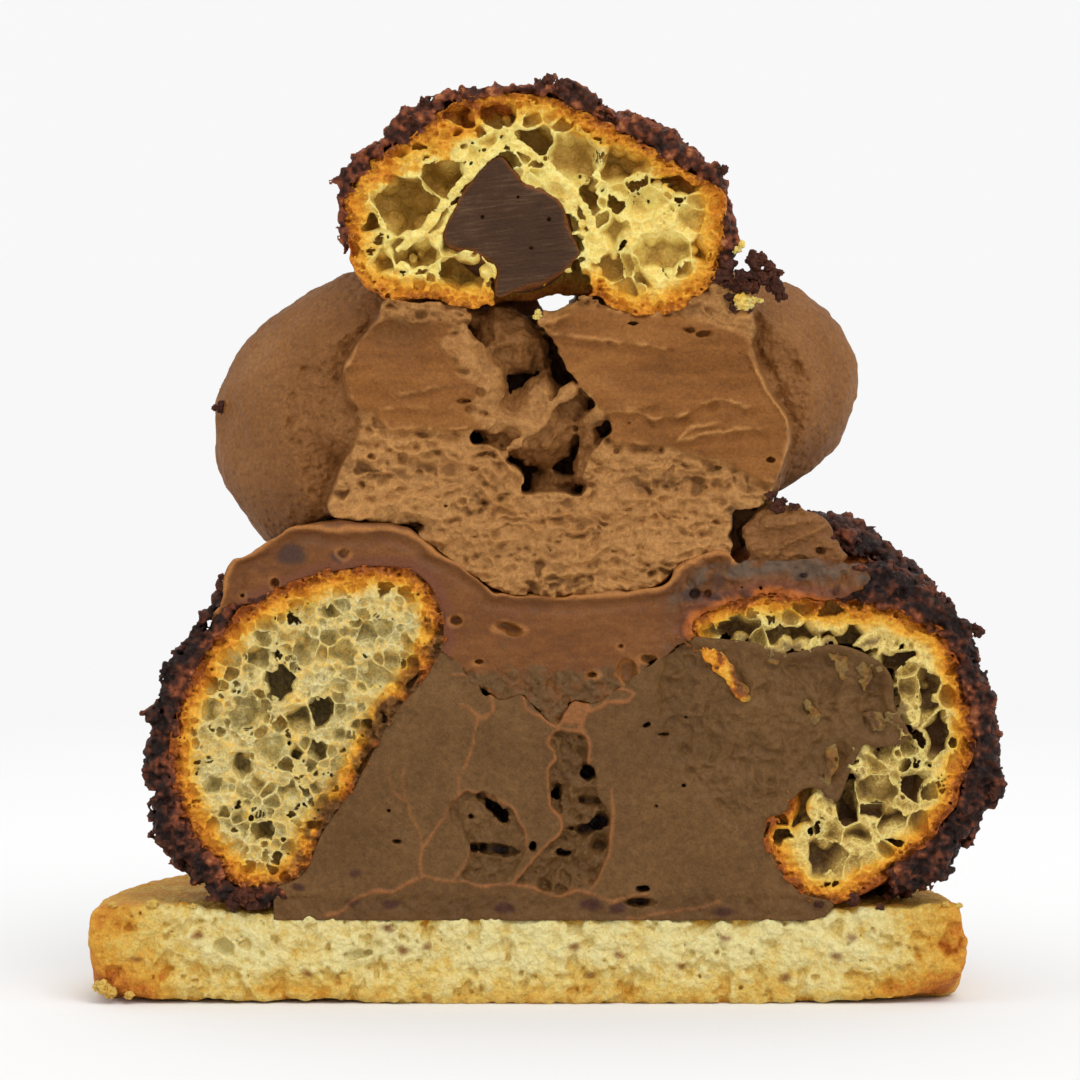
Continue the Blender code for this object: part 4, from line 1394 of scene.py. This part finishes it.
# Dark specks in it: x, z, half width.
LAYER_SPECKS = (
    (-22.7, 4.4, 1.7), (-18.6, 4.4, 0.8), (13.8, 0.9, 1.2), (15.6, 0.7, 0.7), (-26.9, 0.9, 0.5),
    (23.4, 2.4, 0.6), (18.6, 1.0, 0.8),
)
FILLING_CUT = (
    (-29.9, -13.3), (-17.4, -13.5), (0.7, -13.6), (17.9, -13.7), (20.5, -13.1), (22.0, -11.8), (27.9, -2.3),
    (28.8, 6.8), (26.1, 12.2), (15.2, 14.1), (8.9, 12.4), (4.3, 9.3), (0.7, 6.7), (-1.8, 6.6), (-3.3, 4.4),
    (-6.4, 7.2), (-8.4, 6.9), (-11.1, 8.7), (-13.3, 11.3), (-19.2, 6.8), (-26.5, -2.3), (-29.2, -9.5),
)
# Where the filling has cracked and cream has crept in, each with a strength.
SEAMS = (
    (1.0, ((-12.7, 9.1), (-11.8, 9.1), (-10.2, 8.5), (-9.2, 7.5), (-9.0, 6.2), (-9.6, 5.3), (-10.5, 5.3),
           (-11.4, 6.2), (-12.1, 6.5))),
    (1.0, ((-10.5, 5.3), (-10.8, 3.9), (-10.9, 2.7), (-11.6, 0.6), (-12.3, -0.6), (-12.2, -1.9),
           (-13.3, -3.4), (-14.7, -5.7), (-15.7, -7.4), (-15.6, -9.3))),
    (1.0, ((-24.3, -12.8), (-22.6, -12.3), (-21.8, -11.3), (-19.3, -10.6), (-18.3, -10.6), (-15.7, -9.4),
           (-13.6, -9.7), (-11.9, -9.7), (-9.8, -10.3), (-7.4, -9.9), (-5.3, -10.4), (-3.1, -11.2),
           (-1.3, -10.6),
           (0.4, -11.0), (2.0, -11.5), (3.9, -11.0), (4.9, -10.9))),
    (0.9, ((-12.2, -1.9), (-11.2, -1.4), (-10.0, -1.7), (-8.8, -2.3), (-7.4, -3.0), (-6.6, -4.2),
           (-6.0, -5.6), (-5.9, -7.0))),
    (1.1, ((-7.2, -9.8), (-6.0, -8.6), (-4.6, -7.0), (-2.9, -5.3), (-2.8, -4.4), (-3.7, -3.0), (-4.0, -1.1),
           (-4.1, 0.3), (-3.4, 1.3), (-3.6, 2.0), (-4.0, 2.9), (-3.4, 3.9))),
    (1.3, ((-6.3, 7.0), (-5.9, 5.9), (-4.6, 5.3), (-3.5, 4.3), (-2.7, 4.6), (-2.2, 6.2), (-1.5, 6.9),
           (-0.6, 6.5), (-0.6, 5.6), (-1.1, 4.6), (-1.3, 3.9))),
    (1.0, ((-3.4, 3.9), (-2.0, 4.1), (-0.8, 3.7), (-0.3, 2.7), (-0.4, 1.0))),
    (1.2, ((-0.6, 5.6), (0.4, 6.0), (1.6, 6.6), (3.2, 6.8), (3.6, 7.4), (2.7, 7.8), (1.3, 7.6),
           (0.4, 7.2))),
    (0.9, ((1.8, -1.3), (1.9, -3.4), (1.6, -5.8), (1.4, -7.5), (0.6, -9.1), (-0.1, -10.5))),
    (0.8, ((3.2, -13.1), (4.4, -13.2), (6.0, -12.6), (7.9, -12.4), (9.8, -12.2), (11.6, -11.7))),
    (0.7, ((-17.2, 0.6), (-17.1, -1.9), (-15.9, -5.1), (-15.6, -6.6))),
    (0.6, ((-18.6, 0.6), (-18.3, -1.2), (-17.1, -2.4))),
    (0.3, ((-14.9, 5.3), (-14.4, 2.1), (-12.4, -0.4))),
    (0.7, ((-11.1, -6.6), (-11.6, -8.1), (-12.6, -9.3))),
)
# A scrap of paler cream between the seams.
ISLAND = ((-2.7, 4.6), (-2.2, 6.2), (-1.5, 6.9), (-0.6, 6.5), (-0.6, 5.6), (-1.1, 4.6))
# Parts of the filling that broke away, each with a depth.
SUNKEN = (
    (0.55, ((-4.0, 2.9), (-3.4, 3.9), (-0.8, 3.7), (-0.3, 2.7), (-0.4, 1.0), (0.4, 0.1), (0.4, -1.3),
            (1.6, -3.4), (1.6, -5.8), (1.4, -7.5), (-0.1, -10.5), (-1.3, -10.6), (-3.1, -11.2),
            (-5.3, -10.4), (-6.9, -9.8), (-4.6, -7.0), (-2.9, -5.3), (-2.8, -4.4), (-3.7, -3.0),
            (-4.0, -1.1), (-4.1, 0.3), (-3.4, 1.3))),
    (0.35, ((-12.2, -1.9), (-11.2, -1.4), (-8.8, -2.3), (-7.4, -3.0), (-6.6, -4.2), (-6.0, -5.6),
            (-5.9, -7.0), (-7.6, -9.6), (-10.0, -10.0), (-12.1, -9.3), (-11.2, -7.0), (-13.3, -3.4))),
)
# Hollows in the filling: x, z, half width, half height, turn.
POCKETS = (
    (-9.6, 7.4, 0.5, 0.7, 0), (-8.5, -3.4, 2.0, 0.7, -38), (-9.0, -6.9, 2.1, 0.5, -4),
    (-5.4, -6.4, 0.45, 0.65, 0), (-0.6, 0.0, 0.95, 0.7, 0), (-3.3, -2.0, 0.6, 0.75, 0),
    (-0.3, -2.5, 1.1, 0.5, 0), (-0.8, -5.2, 0.65, 0.6, 0), (0.5, -4.4, 1.1, 0.8, 20),
    (0.6, -6.5, 0.85, 0.5, 0), (-2.4, -7.2, 1.0, 0.5, 0), (-2.0, -5.0, 0.4, 0.24, 0),
    (4.6, -10.4, 0.7, 0.3, 0), (4.2, -11.7, 1.4, 0.38, 0), (6.5, 3.6, 0.6, 0.15, 0),
    (4.9, 4.5, 0.4, 0.2, 25), (8.5, 5.2, 0.22, 0.18, 0), (5.8, -2.9, 0.25, 0.16, 0),
    (8.3, -1.0, 0.19, 0.14, 0), (-18.5, -3.3, 0.2, 0.18, 0), (-11.1, -3.9, 0.35, 0.3, 0),
    (-17.8, -6.1, 0.35, 0.18, 0),
)
# Darker patches along the filling's foot: x, z, half width, half height.
BLOTCHES = (
    (-7.9, -12.2, 1.4, 0.6), (-0.1, -11.9, 1.6, 0.8), (2.3, -12.2, 1.1, 0.7), (-21.8, -11.6, 0.9, 0.5),
    (-18.3, -11.8, 1.2, 0.5), (-26.8, -10.3, 0.9, 0.5), (-21.6, -9.1, 0.7, 0.5), (12.0, -12.6, 1.6, 0.6),
)


def make_layer(finish):
    """The milk chocolate cream under the crown: smooth, with a rolled lip along its top."""
    block = Block("milk_cream_layer", step=0.18, margin=4.0, fine=3.0)
    face = wavy(block, 1.6, 0.22, 81)
    section = tucked(block, outline(face, LAYER_CUT))
    shape = drawn_to(block, solid(block), section, 6.0)
    shape += 0.12 * block_grain(block, 3.0, 82, count=3)
    gap = from_line(face, LIP_LINE)
    lip = ease(1 - gap / 0.4)
    swells = 0.10 * face_grain(block, 2.6, 83, count=4, stretch=(2.5, 1))
    relief = 0.12 + swells - 0.3 * ease(1 - gap / 0.75)
    relief += 0.28 * ease(1 - abs(gap - 1.1) / 0.7) + 0.03 * face_grain(block, 0.6, 84, count=2)
    mottle = ease((-5.0 - block.face[1]) / 1.6)
    relief += mottle * 0.25 * face_grain(block, 0.8, 85, count=4, fade=0.75)
    over_left = puff_section(block, "left")
    over_right = puff_section(block, "right")
    right = ease((block.face[0] - 9.5) / 4)
    relief += right * 0.34 * bent(block, face_grain(block, 1.3, 86, count=4, fade=0.75), 1.5, 0.4, 88)
    field = faced(block, shape, relief)
    rough = 0.15 * block_grain(block, 0.9, 87, count=2)
    dark = np.zeros(face[0].shape)
    rings = dark.copy()
    for x, z, wide, high, turn in LAYER_BUBBLES:
        stamp(block, field, (x, 0.1, z), (wide, 0.9, high), turn, rough=rough)
        distance = np.hypot((face[0] - x) / wide, (face[1] - z) / high)
        ring = ease(1 - abs(distance - 1) * min(wide, high) / 0.22)
        rings = np.maximum(rings, ring * (block.face[0] < 12))
    for x, z, size in LAYER_SPECKS:
        dark = np.maximum(dark, ease(1.4 - np.hypot(face[0] - x, (face[1] - z) * 1.5) / size))
    crack = outline(face_from(block, "whipped_cream"), GAP)
    field = np.maximum(field, -np.maximum(block.sheet(crack), block.back() - 7))
    blots = bent(block, face_grain(block, 2.0, 89, count=4, fade=0.7), 1.5, 0.5, 88)
    dark = np.maximum(dark, right * ease(blots - 0.3) * 0.8)
    # Painted glow beside each puff.
    right_glow = np.clip(1.05 - over_right / 1.6, 0, 1)
    marks = {
        # Painted highlight on the lip and on the bubbles' rims.
        "lip": np.maximum(lip, 0.6 * rings),
        "glow": np.maximum(right_glow * right, 0.55 * ease(1.1 - over_left / 1.3)),
        "grey": right * ease(1 - abs(over_right - 2.6) / 2.0) * ease(0.7 - 0.6 * blots),
        "mottle": mottle * 0.6,
        "dark": dark,
    }
    marks = {mark: block.sheet(values) * near_cut(block, 4.0) for mark, values in marks.items()}
    return piece("milk_cream_layer_smear", block, field, finish, "layer", marks)


def make_filling(finish):
    """The dark filling: nearly smooth, with thin paler seams, broken hollows, and a rougher foot."""
    block = Block("chocolate_filling", step=0.17, fine=3.0)
    face = wavy(block, 1.2, 0.14, 91)
    section = tucked(block, outline(face, FILLING_CUT))
    shape = drawn_to(block, solid(block), section, 8.0)
    widths = 1 + 0.6 * face_grain(block, 1.5, 94, count=2)
    seams = np.zeros(face[0].shape)
    for strength, line in SEAMS:
        width = 0.14 * strength * widths + 0.05
        seams = np.maximum(seams, strength * ease(1.1 - from_line(face, line) / width))
    island = ease(-outline(face, ISLAND) / 0.25)
    seams = np.clip(np.maximum(seams, island * 0.8), 0, 1)
    foot = ease((-10.9 - face[1]) / 0.6)
    rough = face_grain(block, 1.0, 92, count=4, fade=0.65)
    knife = face_grain(block, 0.6, 95, count=3, fade=0.7, stretch=(2, 1))
    uneven = bent(block, 0.11 * face_grain(block, 4.0, 93, count=4, fade=0.6) + 0.05 * knife, 2.0, 0.8, 54)
    relief = 0.12 + uneven - 0.14 * seams
    relief += foot * (0.12 + 0.2 * rough)
    broken = np.zeros(face[0].shape)
    for depth, region in SUNKEN:
        inside = ease(-outline(face, region) / 0.3 - 0.2)
        relief += inside * (depth + depth * 0.8 * rough)
        broken = np.maximum(broken, inside)
    pocket = outline(face_from(block, "choux_right"), PUFFS["right"].hollow)
    pulled = bent(block, face_grain(block, 2.0, 98, count=4, fade=0.65, pointed=True), 2.5, 0.8, 99)
    relief += ease(-pocket / 1.2) * (0.5 + 0.25 * face_grain(block, 3.0, 96, count=2) + 0.3 * pulled)
    field = faced(block, shape, relief)
    torn = 0.35 * block_grain(block, 1.0, 97, count=3, fade=0.6)
    for x, z, wide, high, turn in POCKETS:
        half = (wide, 1.0 + 2.4 * high, high)
        stamp(block, field, (x, 0.2, z), half, turn, rough=torn * min(1, high * 1.2))
    dark = foot * 0.35 + broken * 0.1
    for x, z, wide, high in BLOTCHES:
        dark = np.maximum(dark, ease(1.3 - np.hypot((face[0] - x) / wide, (face[1] - z) / high)))
    # Painted shade: the deeper behind the face, the darker.
    deep = ease((block.back() - block.sheet(relief) - 0.5) / 1.2) * near_cut(block, 8.0)
    marks = {"seam": block.sheet(0.8 * seams) * near_cut(block, 2.5), "dark": dark, "deep": deep}
    return piece("chocolate_filling_body", block, field, finish, "filling", marks)


FLAKE_CUT = (
    (-4.6, -3.0), (-4.4, -2.2), (-4.7, -1.2), (-4.8, -0.5), (-4.6, 0.2), (-3.6, 0.4), (-3.1, 1.1),
    (-2.3, 1.5), (-1.5, 1.8), (-0.2, 2.0), (0.5, 2.0), (1.0, 1.5), (1.9, 1.4), (2.7, 0.9), (2.9, 0.2),
    (3.1, -0.6), (3.8, -0.9), (4.3, -1.6), (4.9, -2.6), (4.3, -3.3), (2.5, -3.6), (-0.2, -3.8),
    (-2.8, -3.6),
)
# Folds in the flake, each with a height.
FLAKE_FOLDS = (
    (0.3, ((-1.1, -1.6), (0.5, -0.8), (1.9, -0.2), (2.9, 0.2))),
    (0.2, ((-2.6, 0.2), (-0.6, 0.4), (1.2, 0.6))),
    (0.25, ((-4.0, -1.9), (-1.6, -2.4), (0.6, -2.2), (1.4, -2.8))),
)
CORE_CUT = (
    (-1.9, 6.4), (-0.6, 6.6), (1.1, 4.4), (3.4, 3.3), (4.7, 2.2), (5.2, 0.3), (6.2, -1.8), (5.7, -2.8),
    (4.2, -4.1), (2.1, -4.9), (-1.4, -5.9), (-1.4, -3.4), (-3.0, -2.1), (-5.8, -1.3), (-6.0, 0.3),
    (-3.7, 4.4),
)


def make_flake(finish):
    """A torn flake of cream at the right of the crown."""
    block = Block("cream_flake", step=0.14, margin=2.4)
    section = outline(wavy(block, 1.0, 0.15, 101), FLAKE_CUT)
    shape = drawn_to(block, solid(block), section, 3.0)
    lines, crest = ridges(block, block.face, FLAKE_FOLDS, 104)
    torn = face_grain(block, 1.2, 102, count=4, fade=0.65, stretch=(3, 1), pointed=True)
    relief = 0.35 + lines + 0.2 * torn + 0.12 * face_grain(block, 0.7, 105, count=3)
    relief += rounding(section, 0.9, 0.7) * ease(block.face[1] + 3.4)
    field = faced(block, shape, relief)
    rough = 0.15 * block_grain(block, 0.8, 103)
    stamp(block, field, (2.4, 0.3, -2.0), (0.45, 1.1, 0.35), rough=rough)
    stamp(block, field, (1.2, 0.2, -3.2), (0.5, 0.8, 0.2), rough=rough)
    dusk = 0.14 + 0.16 * ease(face_grain(block, 1.5, 106, count=3))
    # Painted highlight on the flake's folds.
    marks = {"petal": np.ones(block.face[0].shape), "edge": crest * 0.5, "shade": dusk}
    return piece("cream_flake_torn", block, field, finish, "cream", marks)


def make_core(finish):
    """The ganache at the heart of the top puff, with the knife's marks."""
    block = Block("ganache_core", step=0.14)
    section = outline(wavy(block, 1.2, 0.14, 111), CORE_CUT)
    shape = drawn_to(block, solid(block), section, 3.0)
    relief = 0.05 + 0.1 * face_grain(block, 3.0, 113, count=4) + rounding(section, 0.5, 0.3)
    field = faced(block, shape, relief)
    for x, z, size in ((-2.6, 1.2, 0.2), (1.8, -1.6, 0.18), (3.4, 1.0, 0.2), (0.6, 3.0, 0.15)):
        stamp(block, field, (x, 0.1, z), (size, 0.5, size))
    # Where the painted glow lies: a thin ring round the cut's edge, near the front.
    rim = block.sheet(ease(1 + section / 0.35)) * ease(1.5 - block.back())
    return piece("ganache_core_cut", block, field, finish, "core", {"rim": rim})


# --- Biscuit ----------------------------------------------------------------------------------------

BISCUIT_CUT = (
    (-39.2, 4.3), (-35.9, 4.6), (-31.9, 4.7), (-26.4, 4.0), (-21.4, 3.7), (-0.6, 3.6), (21.2, 3.4),
    (24.8, 3.3), (26.8, 3.9), (30.7, 4.5), (33.4, 4.3), (38.9, 4.7), (39.6, 3.5), (40.0, 0.8), (39.7, -1.5),
    (38.6, -2.3), (34.3, -3.7), (29.1, -4.0), (21.2, -4.4), (10.3, -4.5), (-6.6, -4.5), (-16.9, -4.1),
    (-27.8, -4.0), (-33.2, -3.9), (-37.6, -3.2), (-39.2, -2.0), (-39.8, 0.0), (-40.0, 2.1),
)
BISCUIT_SPECKS = (
    (-12.7, 2.6), (-9.0, 0.8), (-11.2, 0.5), (-35.7, -0.3), (4.4, 0.8), (8.5, 0.2), (5.8, -1.7),
    (29.6, 1.6), (28.1, 0.0), (23.5, -2.0), (-20.0, -1.5), (14.0, -1.0), (18.0, 1.8), (-30.0, 1.8),
)


def make_biscuit(finish):
    """The shortbread: a crumbling cut, browned toward its ends, foot and skin."""
    block = Block("biscuit_base", step=0.2, fine=2.6)
    section = outline(wavy(block, 1.0, 0.15, 120), BISCUIT_CUT)
    shape = drawn_to(block, solid(block), section, 6.0)
    shape = shape + 0.13 * block_grain(block, 1.1, 121, count=3, fade=0.6)
    rough = face_grain(block, 1.8, 122, count=4, fade=0.7)
    _, grains, _ = cells(block, 0.9, 123, 1, 0.4)
    _, sand, _ = cells(block, 0.45, 124, 1, 0.3)
    grains = np.clip(1 - (grains[:, 0] + 0.1) / 0.5, -0.5, 1.2)
    sand = np.clip(1 - (sand[:, 0] + 0.05) / 0.25, -0.5, 1.2)
    pits = ease((face_grain(block, 1.5, 125, count=3, fade=0.6) - 0.35) / 0.3)
    relief = 0.35 + 0.24 * rough - 0.22 * grains - 0.18 * sand + 0.55 * pits
    relief += rounding(section, 0.8, 0.5)
    field = faced(block, shape, relief)
    torn = 0.2 * block_grain(block, 0.9, 126)
    stamp(block, field, (-27.5, 0.3, 0.8), (0.9, 1.4, 0.8), rough=torn)
    stamp(block, field, (-15.5, 0.3, 0.2), (1.4, 1.3, 0.5), rough=torn)
    near = wavy(block, 0.8, 0.2, 127)
    speck = np.zeros(section.shape)
    for x, z in BISCUIT_SPECKS:
        speck = np.maximum(speck, ease(1.6 - np.hypot((near[0] - x) / 0.5, (near[1] - z) / 0.3)))
    ends = ease((abs(block.face[0] - 0.5) - 28) / 12)
    foot = ease((0.5 - block.face[1]) / 5)
    baked = np.clip(0.1 + 0.27 * foot + 0.54 * ends, 0, 1)
    skin = ease(1.2 + shape / 1.2) * ease(block.back() / 1.5)
    pitting = block.sheet(0.5 * pits + 0.6 * rough) * near_cut(block, 2.5)
    marks = {
        "baked": np.maximum(block.sheet(baked) * near_cut(block, 6.0), 0.54 * skin),
        "speck": block.sheet(0.8 * speck) * near_cut(block, 1.5),
        "pit": pitting,
    }
    return piece("biscuit_base_crumb", block, field, finish, "biscuit", marks)


# --- Crumbs -----------------------------------------------------------------------------------------

# Where a crumb is sought, x and z over the floor, its size, and how far back if it isn't on the cut.
CRUST_CRUMBS = (
    (-31.4, 54.3, 0.8, 9.0), (-32.0, 53.9, 0.5, 9.0), (-30.5, 39.3, 0.7), (-30.0, 38.2, 0.9),
    (0.4, 84.0, 0.8), (1.4, 83.6, 0.9), (-11.2, 82.2, 0.6), (17.0, 75.9, 0.8), (40.9, 34.2, 0.6),
    (40.0, 33.4, 0.9), (41.0, 19.6, 0.8), (-37.2, 26.6, 0.6), (21.2, 45.9, 1.0), (22.0, 46.3, 0.8),
    (20.6, 46.4, 0.7), (22.6, 45.6, 0.7), (-27.4, 9.6, 1.5), (-26.4, 9.2, 1.1), (-28.4, 9.3, 1.2),
    (28.2, 9.4, 0.9), (30.6, 9.6, 0.6), (24.9, 9.2, 0.7),
)
# The heap on the right petal, from the bottom up.
HEAP = (
    (16.5, 65.4, 1.1), (16.2, 66.2, 1.3), (16.5, 67.4, 1.1), (17.4, 65.4, 1.3), (18.4, 65.3, 1.3),
    (19.4, 65.4, 1.1), (17.8, 66.2, 1.5), (18.6, 66.3, 1.3), (19.3, 66.2, 1.3), (20.0, 66.2, 1.1),
    (20.6, 66.4, 0.8), (19.3, 67.2, 0.9), (20.3, 67.3, 1.1), (18.9, 67.6, 1.2), (19.6, 67.8, 1.0),
    (18.8, 68.3, 0.7), (21.7, 63.8, 1.1), (22.0, 63.1, 0.9), (21.2, 63.4, 0.8), (21.9, 64.4, 0.6),
    (20.2, 65.2, 0.8), (17.2, 63.4, 0.7), (18.6, 63.2, 0.6), (16.8, 64.4, 0.9),
)
PALE_CRUMBS = (
    (17.9, 64.1, 1.2), (18.5, 63.7, 0.7), (21.0, 67.1, 0.7), (18.5, 68.9, 0.6), (21.0, 64.0, 0.4),
    (22.4, 63.4, 0.5), (16.9, 69.0, 0.7), (-1.1, 62.9, 0.6), (-0.6, 63.4, 0.5), (2.2, 66.7, 0.5),
)
BISCUIT_CRUMBS = (
    (-40.9, 1.3, 1.3), (-39.6, 1.0, 1.0), (-37.8, 0.8, 0.8), (-35.7, 9.6, 0.9), (-39.2, 9.4, 0.6),
    (-32.1, 9.2, 0.5), (36.5, 9.3, 0.6), (38.9, 9.5, 0.5),
)


def add_crumb(mesh, centre, size, random):
    """One broken crumb: a ball pushed in and out, and stretched a little."""
    ball = bmesh.ops.create_icosphere(mesh, subdivisions=4, radius=1.0)["verts"]
    shift = Vector(random.uniform(0, 90, 3))
    stretch = Vector(random.uniform(0.7, 1.3, 3)) * size * 0.6
    for vert in ball:
        direction = vert.co.normalized()
        rise = 1 + 0.5 * noise.noise(direction * 1.6 + shift)
        rise -= 0.5 * abs(noise.noise(direction * 3.5 + shift))
        rise += 0.12 * noise.noise(direction * 9 + shift)
        vert.co = Vector(part * half * MM for part, half in zip(direction * rise, stretch)) + centre


def resting_place(sought, size, supports, earlier):
    """The middle of a crumb that touches the nearest support, or the nearest earlier crumb."""
    choices = []
    for tree in supports:
        spot, normal, _, gap = tree.find_nearest(sought)
        choices.append((gap, spot + normal * 0.25 * size))
    for centre, radius in earlier:
        away = sought - centre
        choices.append((away.length - radius, centre + away.normalized() * (radius + 0.3 * size)))
    return min(choices, key=lambda choice: choice[0])[1]


def make_crumbs(name, places, supports, finish, slot, seed, marks):
    """One piece of loose crumbs of one kind, each resting on what is nearest to it."""
    random = np.random.default_rng(seed)
    mesh = bmesh.new()
    earlier = []
    for x, z, size, *back in places:
        sought = Vector((x, CUT + sum(back or [0.4]), z)) * MM
        centre = resting_place(sought, size * MM, supports, earlier)
        earlier.append((centre, 0.4 * size * MM))
        add_crumb(mesh, centre, size, random)
    made = bpy.data.objects.new(name, bpy.data.meshes.new(name))
    mesh.to_mesh(made.data)
    mesh.free()
    made.data.shade_smooth()
    for mark, value in marks.items():
        stored = made.data.attributes.new(mark, "FLOAT", "POINT")
        stored.data.foreach_set("value", [value] * len(made.data.vertices))
    bpy.context.scene.collection.objects.link(made)
    return settle(made, finish, slot)


# --- Stage ------------------------------------------------------------------------------------------

# Lengths here are in metres, but for the lens and its sensor, and how far the pool of painted
# light on the floor's pale middle reaches.
CAMERA_DISTANCE = 0.5
CAMERA_PITCH = math.radians(3.5)
CAMERA_AIM = Vector((-0.0004, CUT * MM, 0.0424))
LENS = 184.0
SENSOR = 36.0
WORLD_LIGHT = 0.94
SOFTBOX_LIGHT = 1.1
SOFTBOX_ANGLE = math.radians(40)
SOFTBOX_PLACE = Vector((0.35, -0.75, 1.0))  # which way its light comes from
FLOOR_RADIUS = 6.0
NEAR_FLOOR = 0.88
FAR_FLOOR = 0.775
NEAR_REACH = 260.0


def make_stage():
    """A plain floor, painted palest round the cake as a pool of light, and an even white surround."""
    rings = bmesh.new()
    bmesh.ops.create_circle(rings, cap_ends=True, segments=96, radius=FLOOR_RADIUS)
    mesh = bpy.data.meshes.new("floor")
    rings.to_mesh(mesh)
    rings.free()
    floor = bpy.data.objects.new("floor", mesh)
    bpy.context.scene.collection.objects.link(floor)
    finish = Finish("floor", Roughness=0.9, Specular_IOR_Level=0.0)
    mottle = finish.noise(60.0, 1.0)
    sockets = {"Vector": finish.place(NEAR_REACH)}
    near = finish.node("ShaderNodeTexGradient", {"gradient_type": "SPHERICAL"}, sockets)
    # Painted light: the floor is paler near the cake than far off.
    colour = finish.mix((FAR_FLOOR,) * 3, (NEAR_FLOOR,) * 3, near + (mottle - 0.5) * 0.05)
    finish.feed(finish.shader.inputs["Base Color"], colour)
    mesh.materials.append(finish.material)
    world = bpy.data.worlds.new("surround")
    world.use_nodes = True
    surround = world.node_tree.nodes["Background"]
    surround.inputs["Color"].default_value = (1.0, 1.0, 1.0, 1.0)
    surround.inputs["Strength"].default_value = WORLD_LIGHT
    bpy.context.scene.world = world


def make_lights():
    """One broad soft light from the front, above and to the right."""
    sun = bpy.data.lights.new("softbox", "SUN")
    sun.energy = SOFTBOX_LIGHT
    sun.angle = SOFTBOX_ANGLE
    lamp = bpy.data.objects.new("softbox", sun)
    lamp.rotation_euler = SOFTBOX_PLACE.to_track_quat("Z", "Y").to_euler()
    bpy.context.scene.collection.objects.link(lamp)


def make_camera():
    """A long lens in front of the cut, a little above it."""
    lens = bpy.data.cameras.new("camera")
    lens.lens = LENS
    lens.sensor_width = SENSOR
    camera = bpy.data.objects.new("camera", lens)
    back = Vector((0, -math.cos(CAMERA_PITCH), math.sin(CAMERA_PITCH)))
    camera.location = CAMERA_AIM + CAMERA_DISTANCE * back
    camera.rotation_euler = (math.pi / 2 - CAMERA_PITCH, 0, 0)
    bpy.context.scene.collection.objects.link(camera)
    bpy.context.scene.camera = camera
    bpy.context.scene.view_settings.view_transform = "Standard"


def main():
    """Builds the whole scene."""
    make_camera()
    make_lights()
    make_stage()
    crumbs = {name: crumb_finish(f"choux_{name}", *tints) for name, tints in CHOUX_CRUMB.items()}
    warm = craquelin_finish("craquelin_top", TOP_WARMTH)
    dark = craquelin_finish("craquelin_sides", SIDE_WARMTH)
    biscuit = biscuit_finish()
    cream = cream_finish()
    pieces = [make_puff(name, puff, crumbs[name]) for name, puff in PUFFS.items()]
    pieces.append(make_back_puff(crumbs["left"]))
    for name in ("left", "right", "back", "top"):
        pieces.append(make_craquelin(name, warm if name == "top" else dark))
    pieces += [make_cream(cream), make_layer(layer_finish()), make_filling(filling_finish())]
    pieces += [make_flake(cream), make_core(core_finish()), make_biscuit(biscuit)]
    seen = bpy.context.evaluated_depsgraph_get()
    supports = [BVHTree.FromObject(made, seen) for made in pieces]
    make_crumbs("craquelin_crumbs", CRUST_CRUMBS + HEAP, supports, warm, "craquelin", 131, {"warm": 0.3})
    make_crumbs("choux_crumbs", PALE_CRUMBS, supports, crumbs["top"], "crumb", 132, {"toast": 0.35})
    make_crumbs("biscuit_crumbs", BISCUIT_CRUMBS, supports, biscuit, "biscuit", 133, {"baked": 0.35})


main()
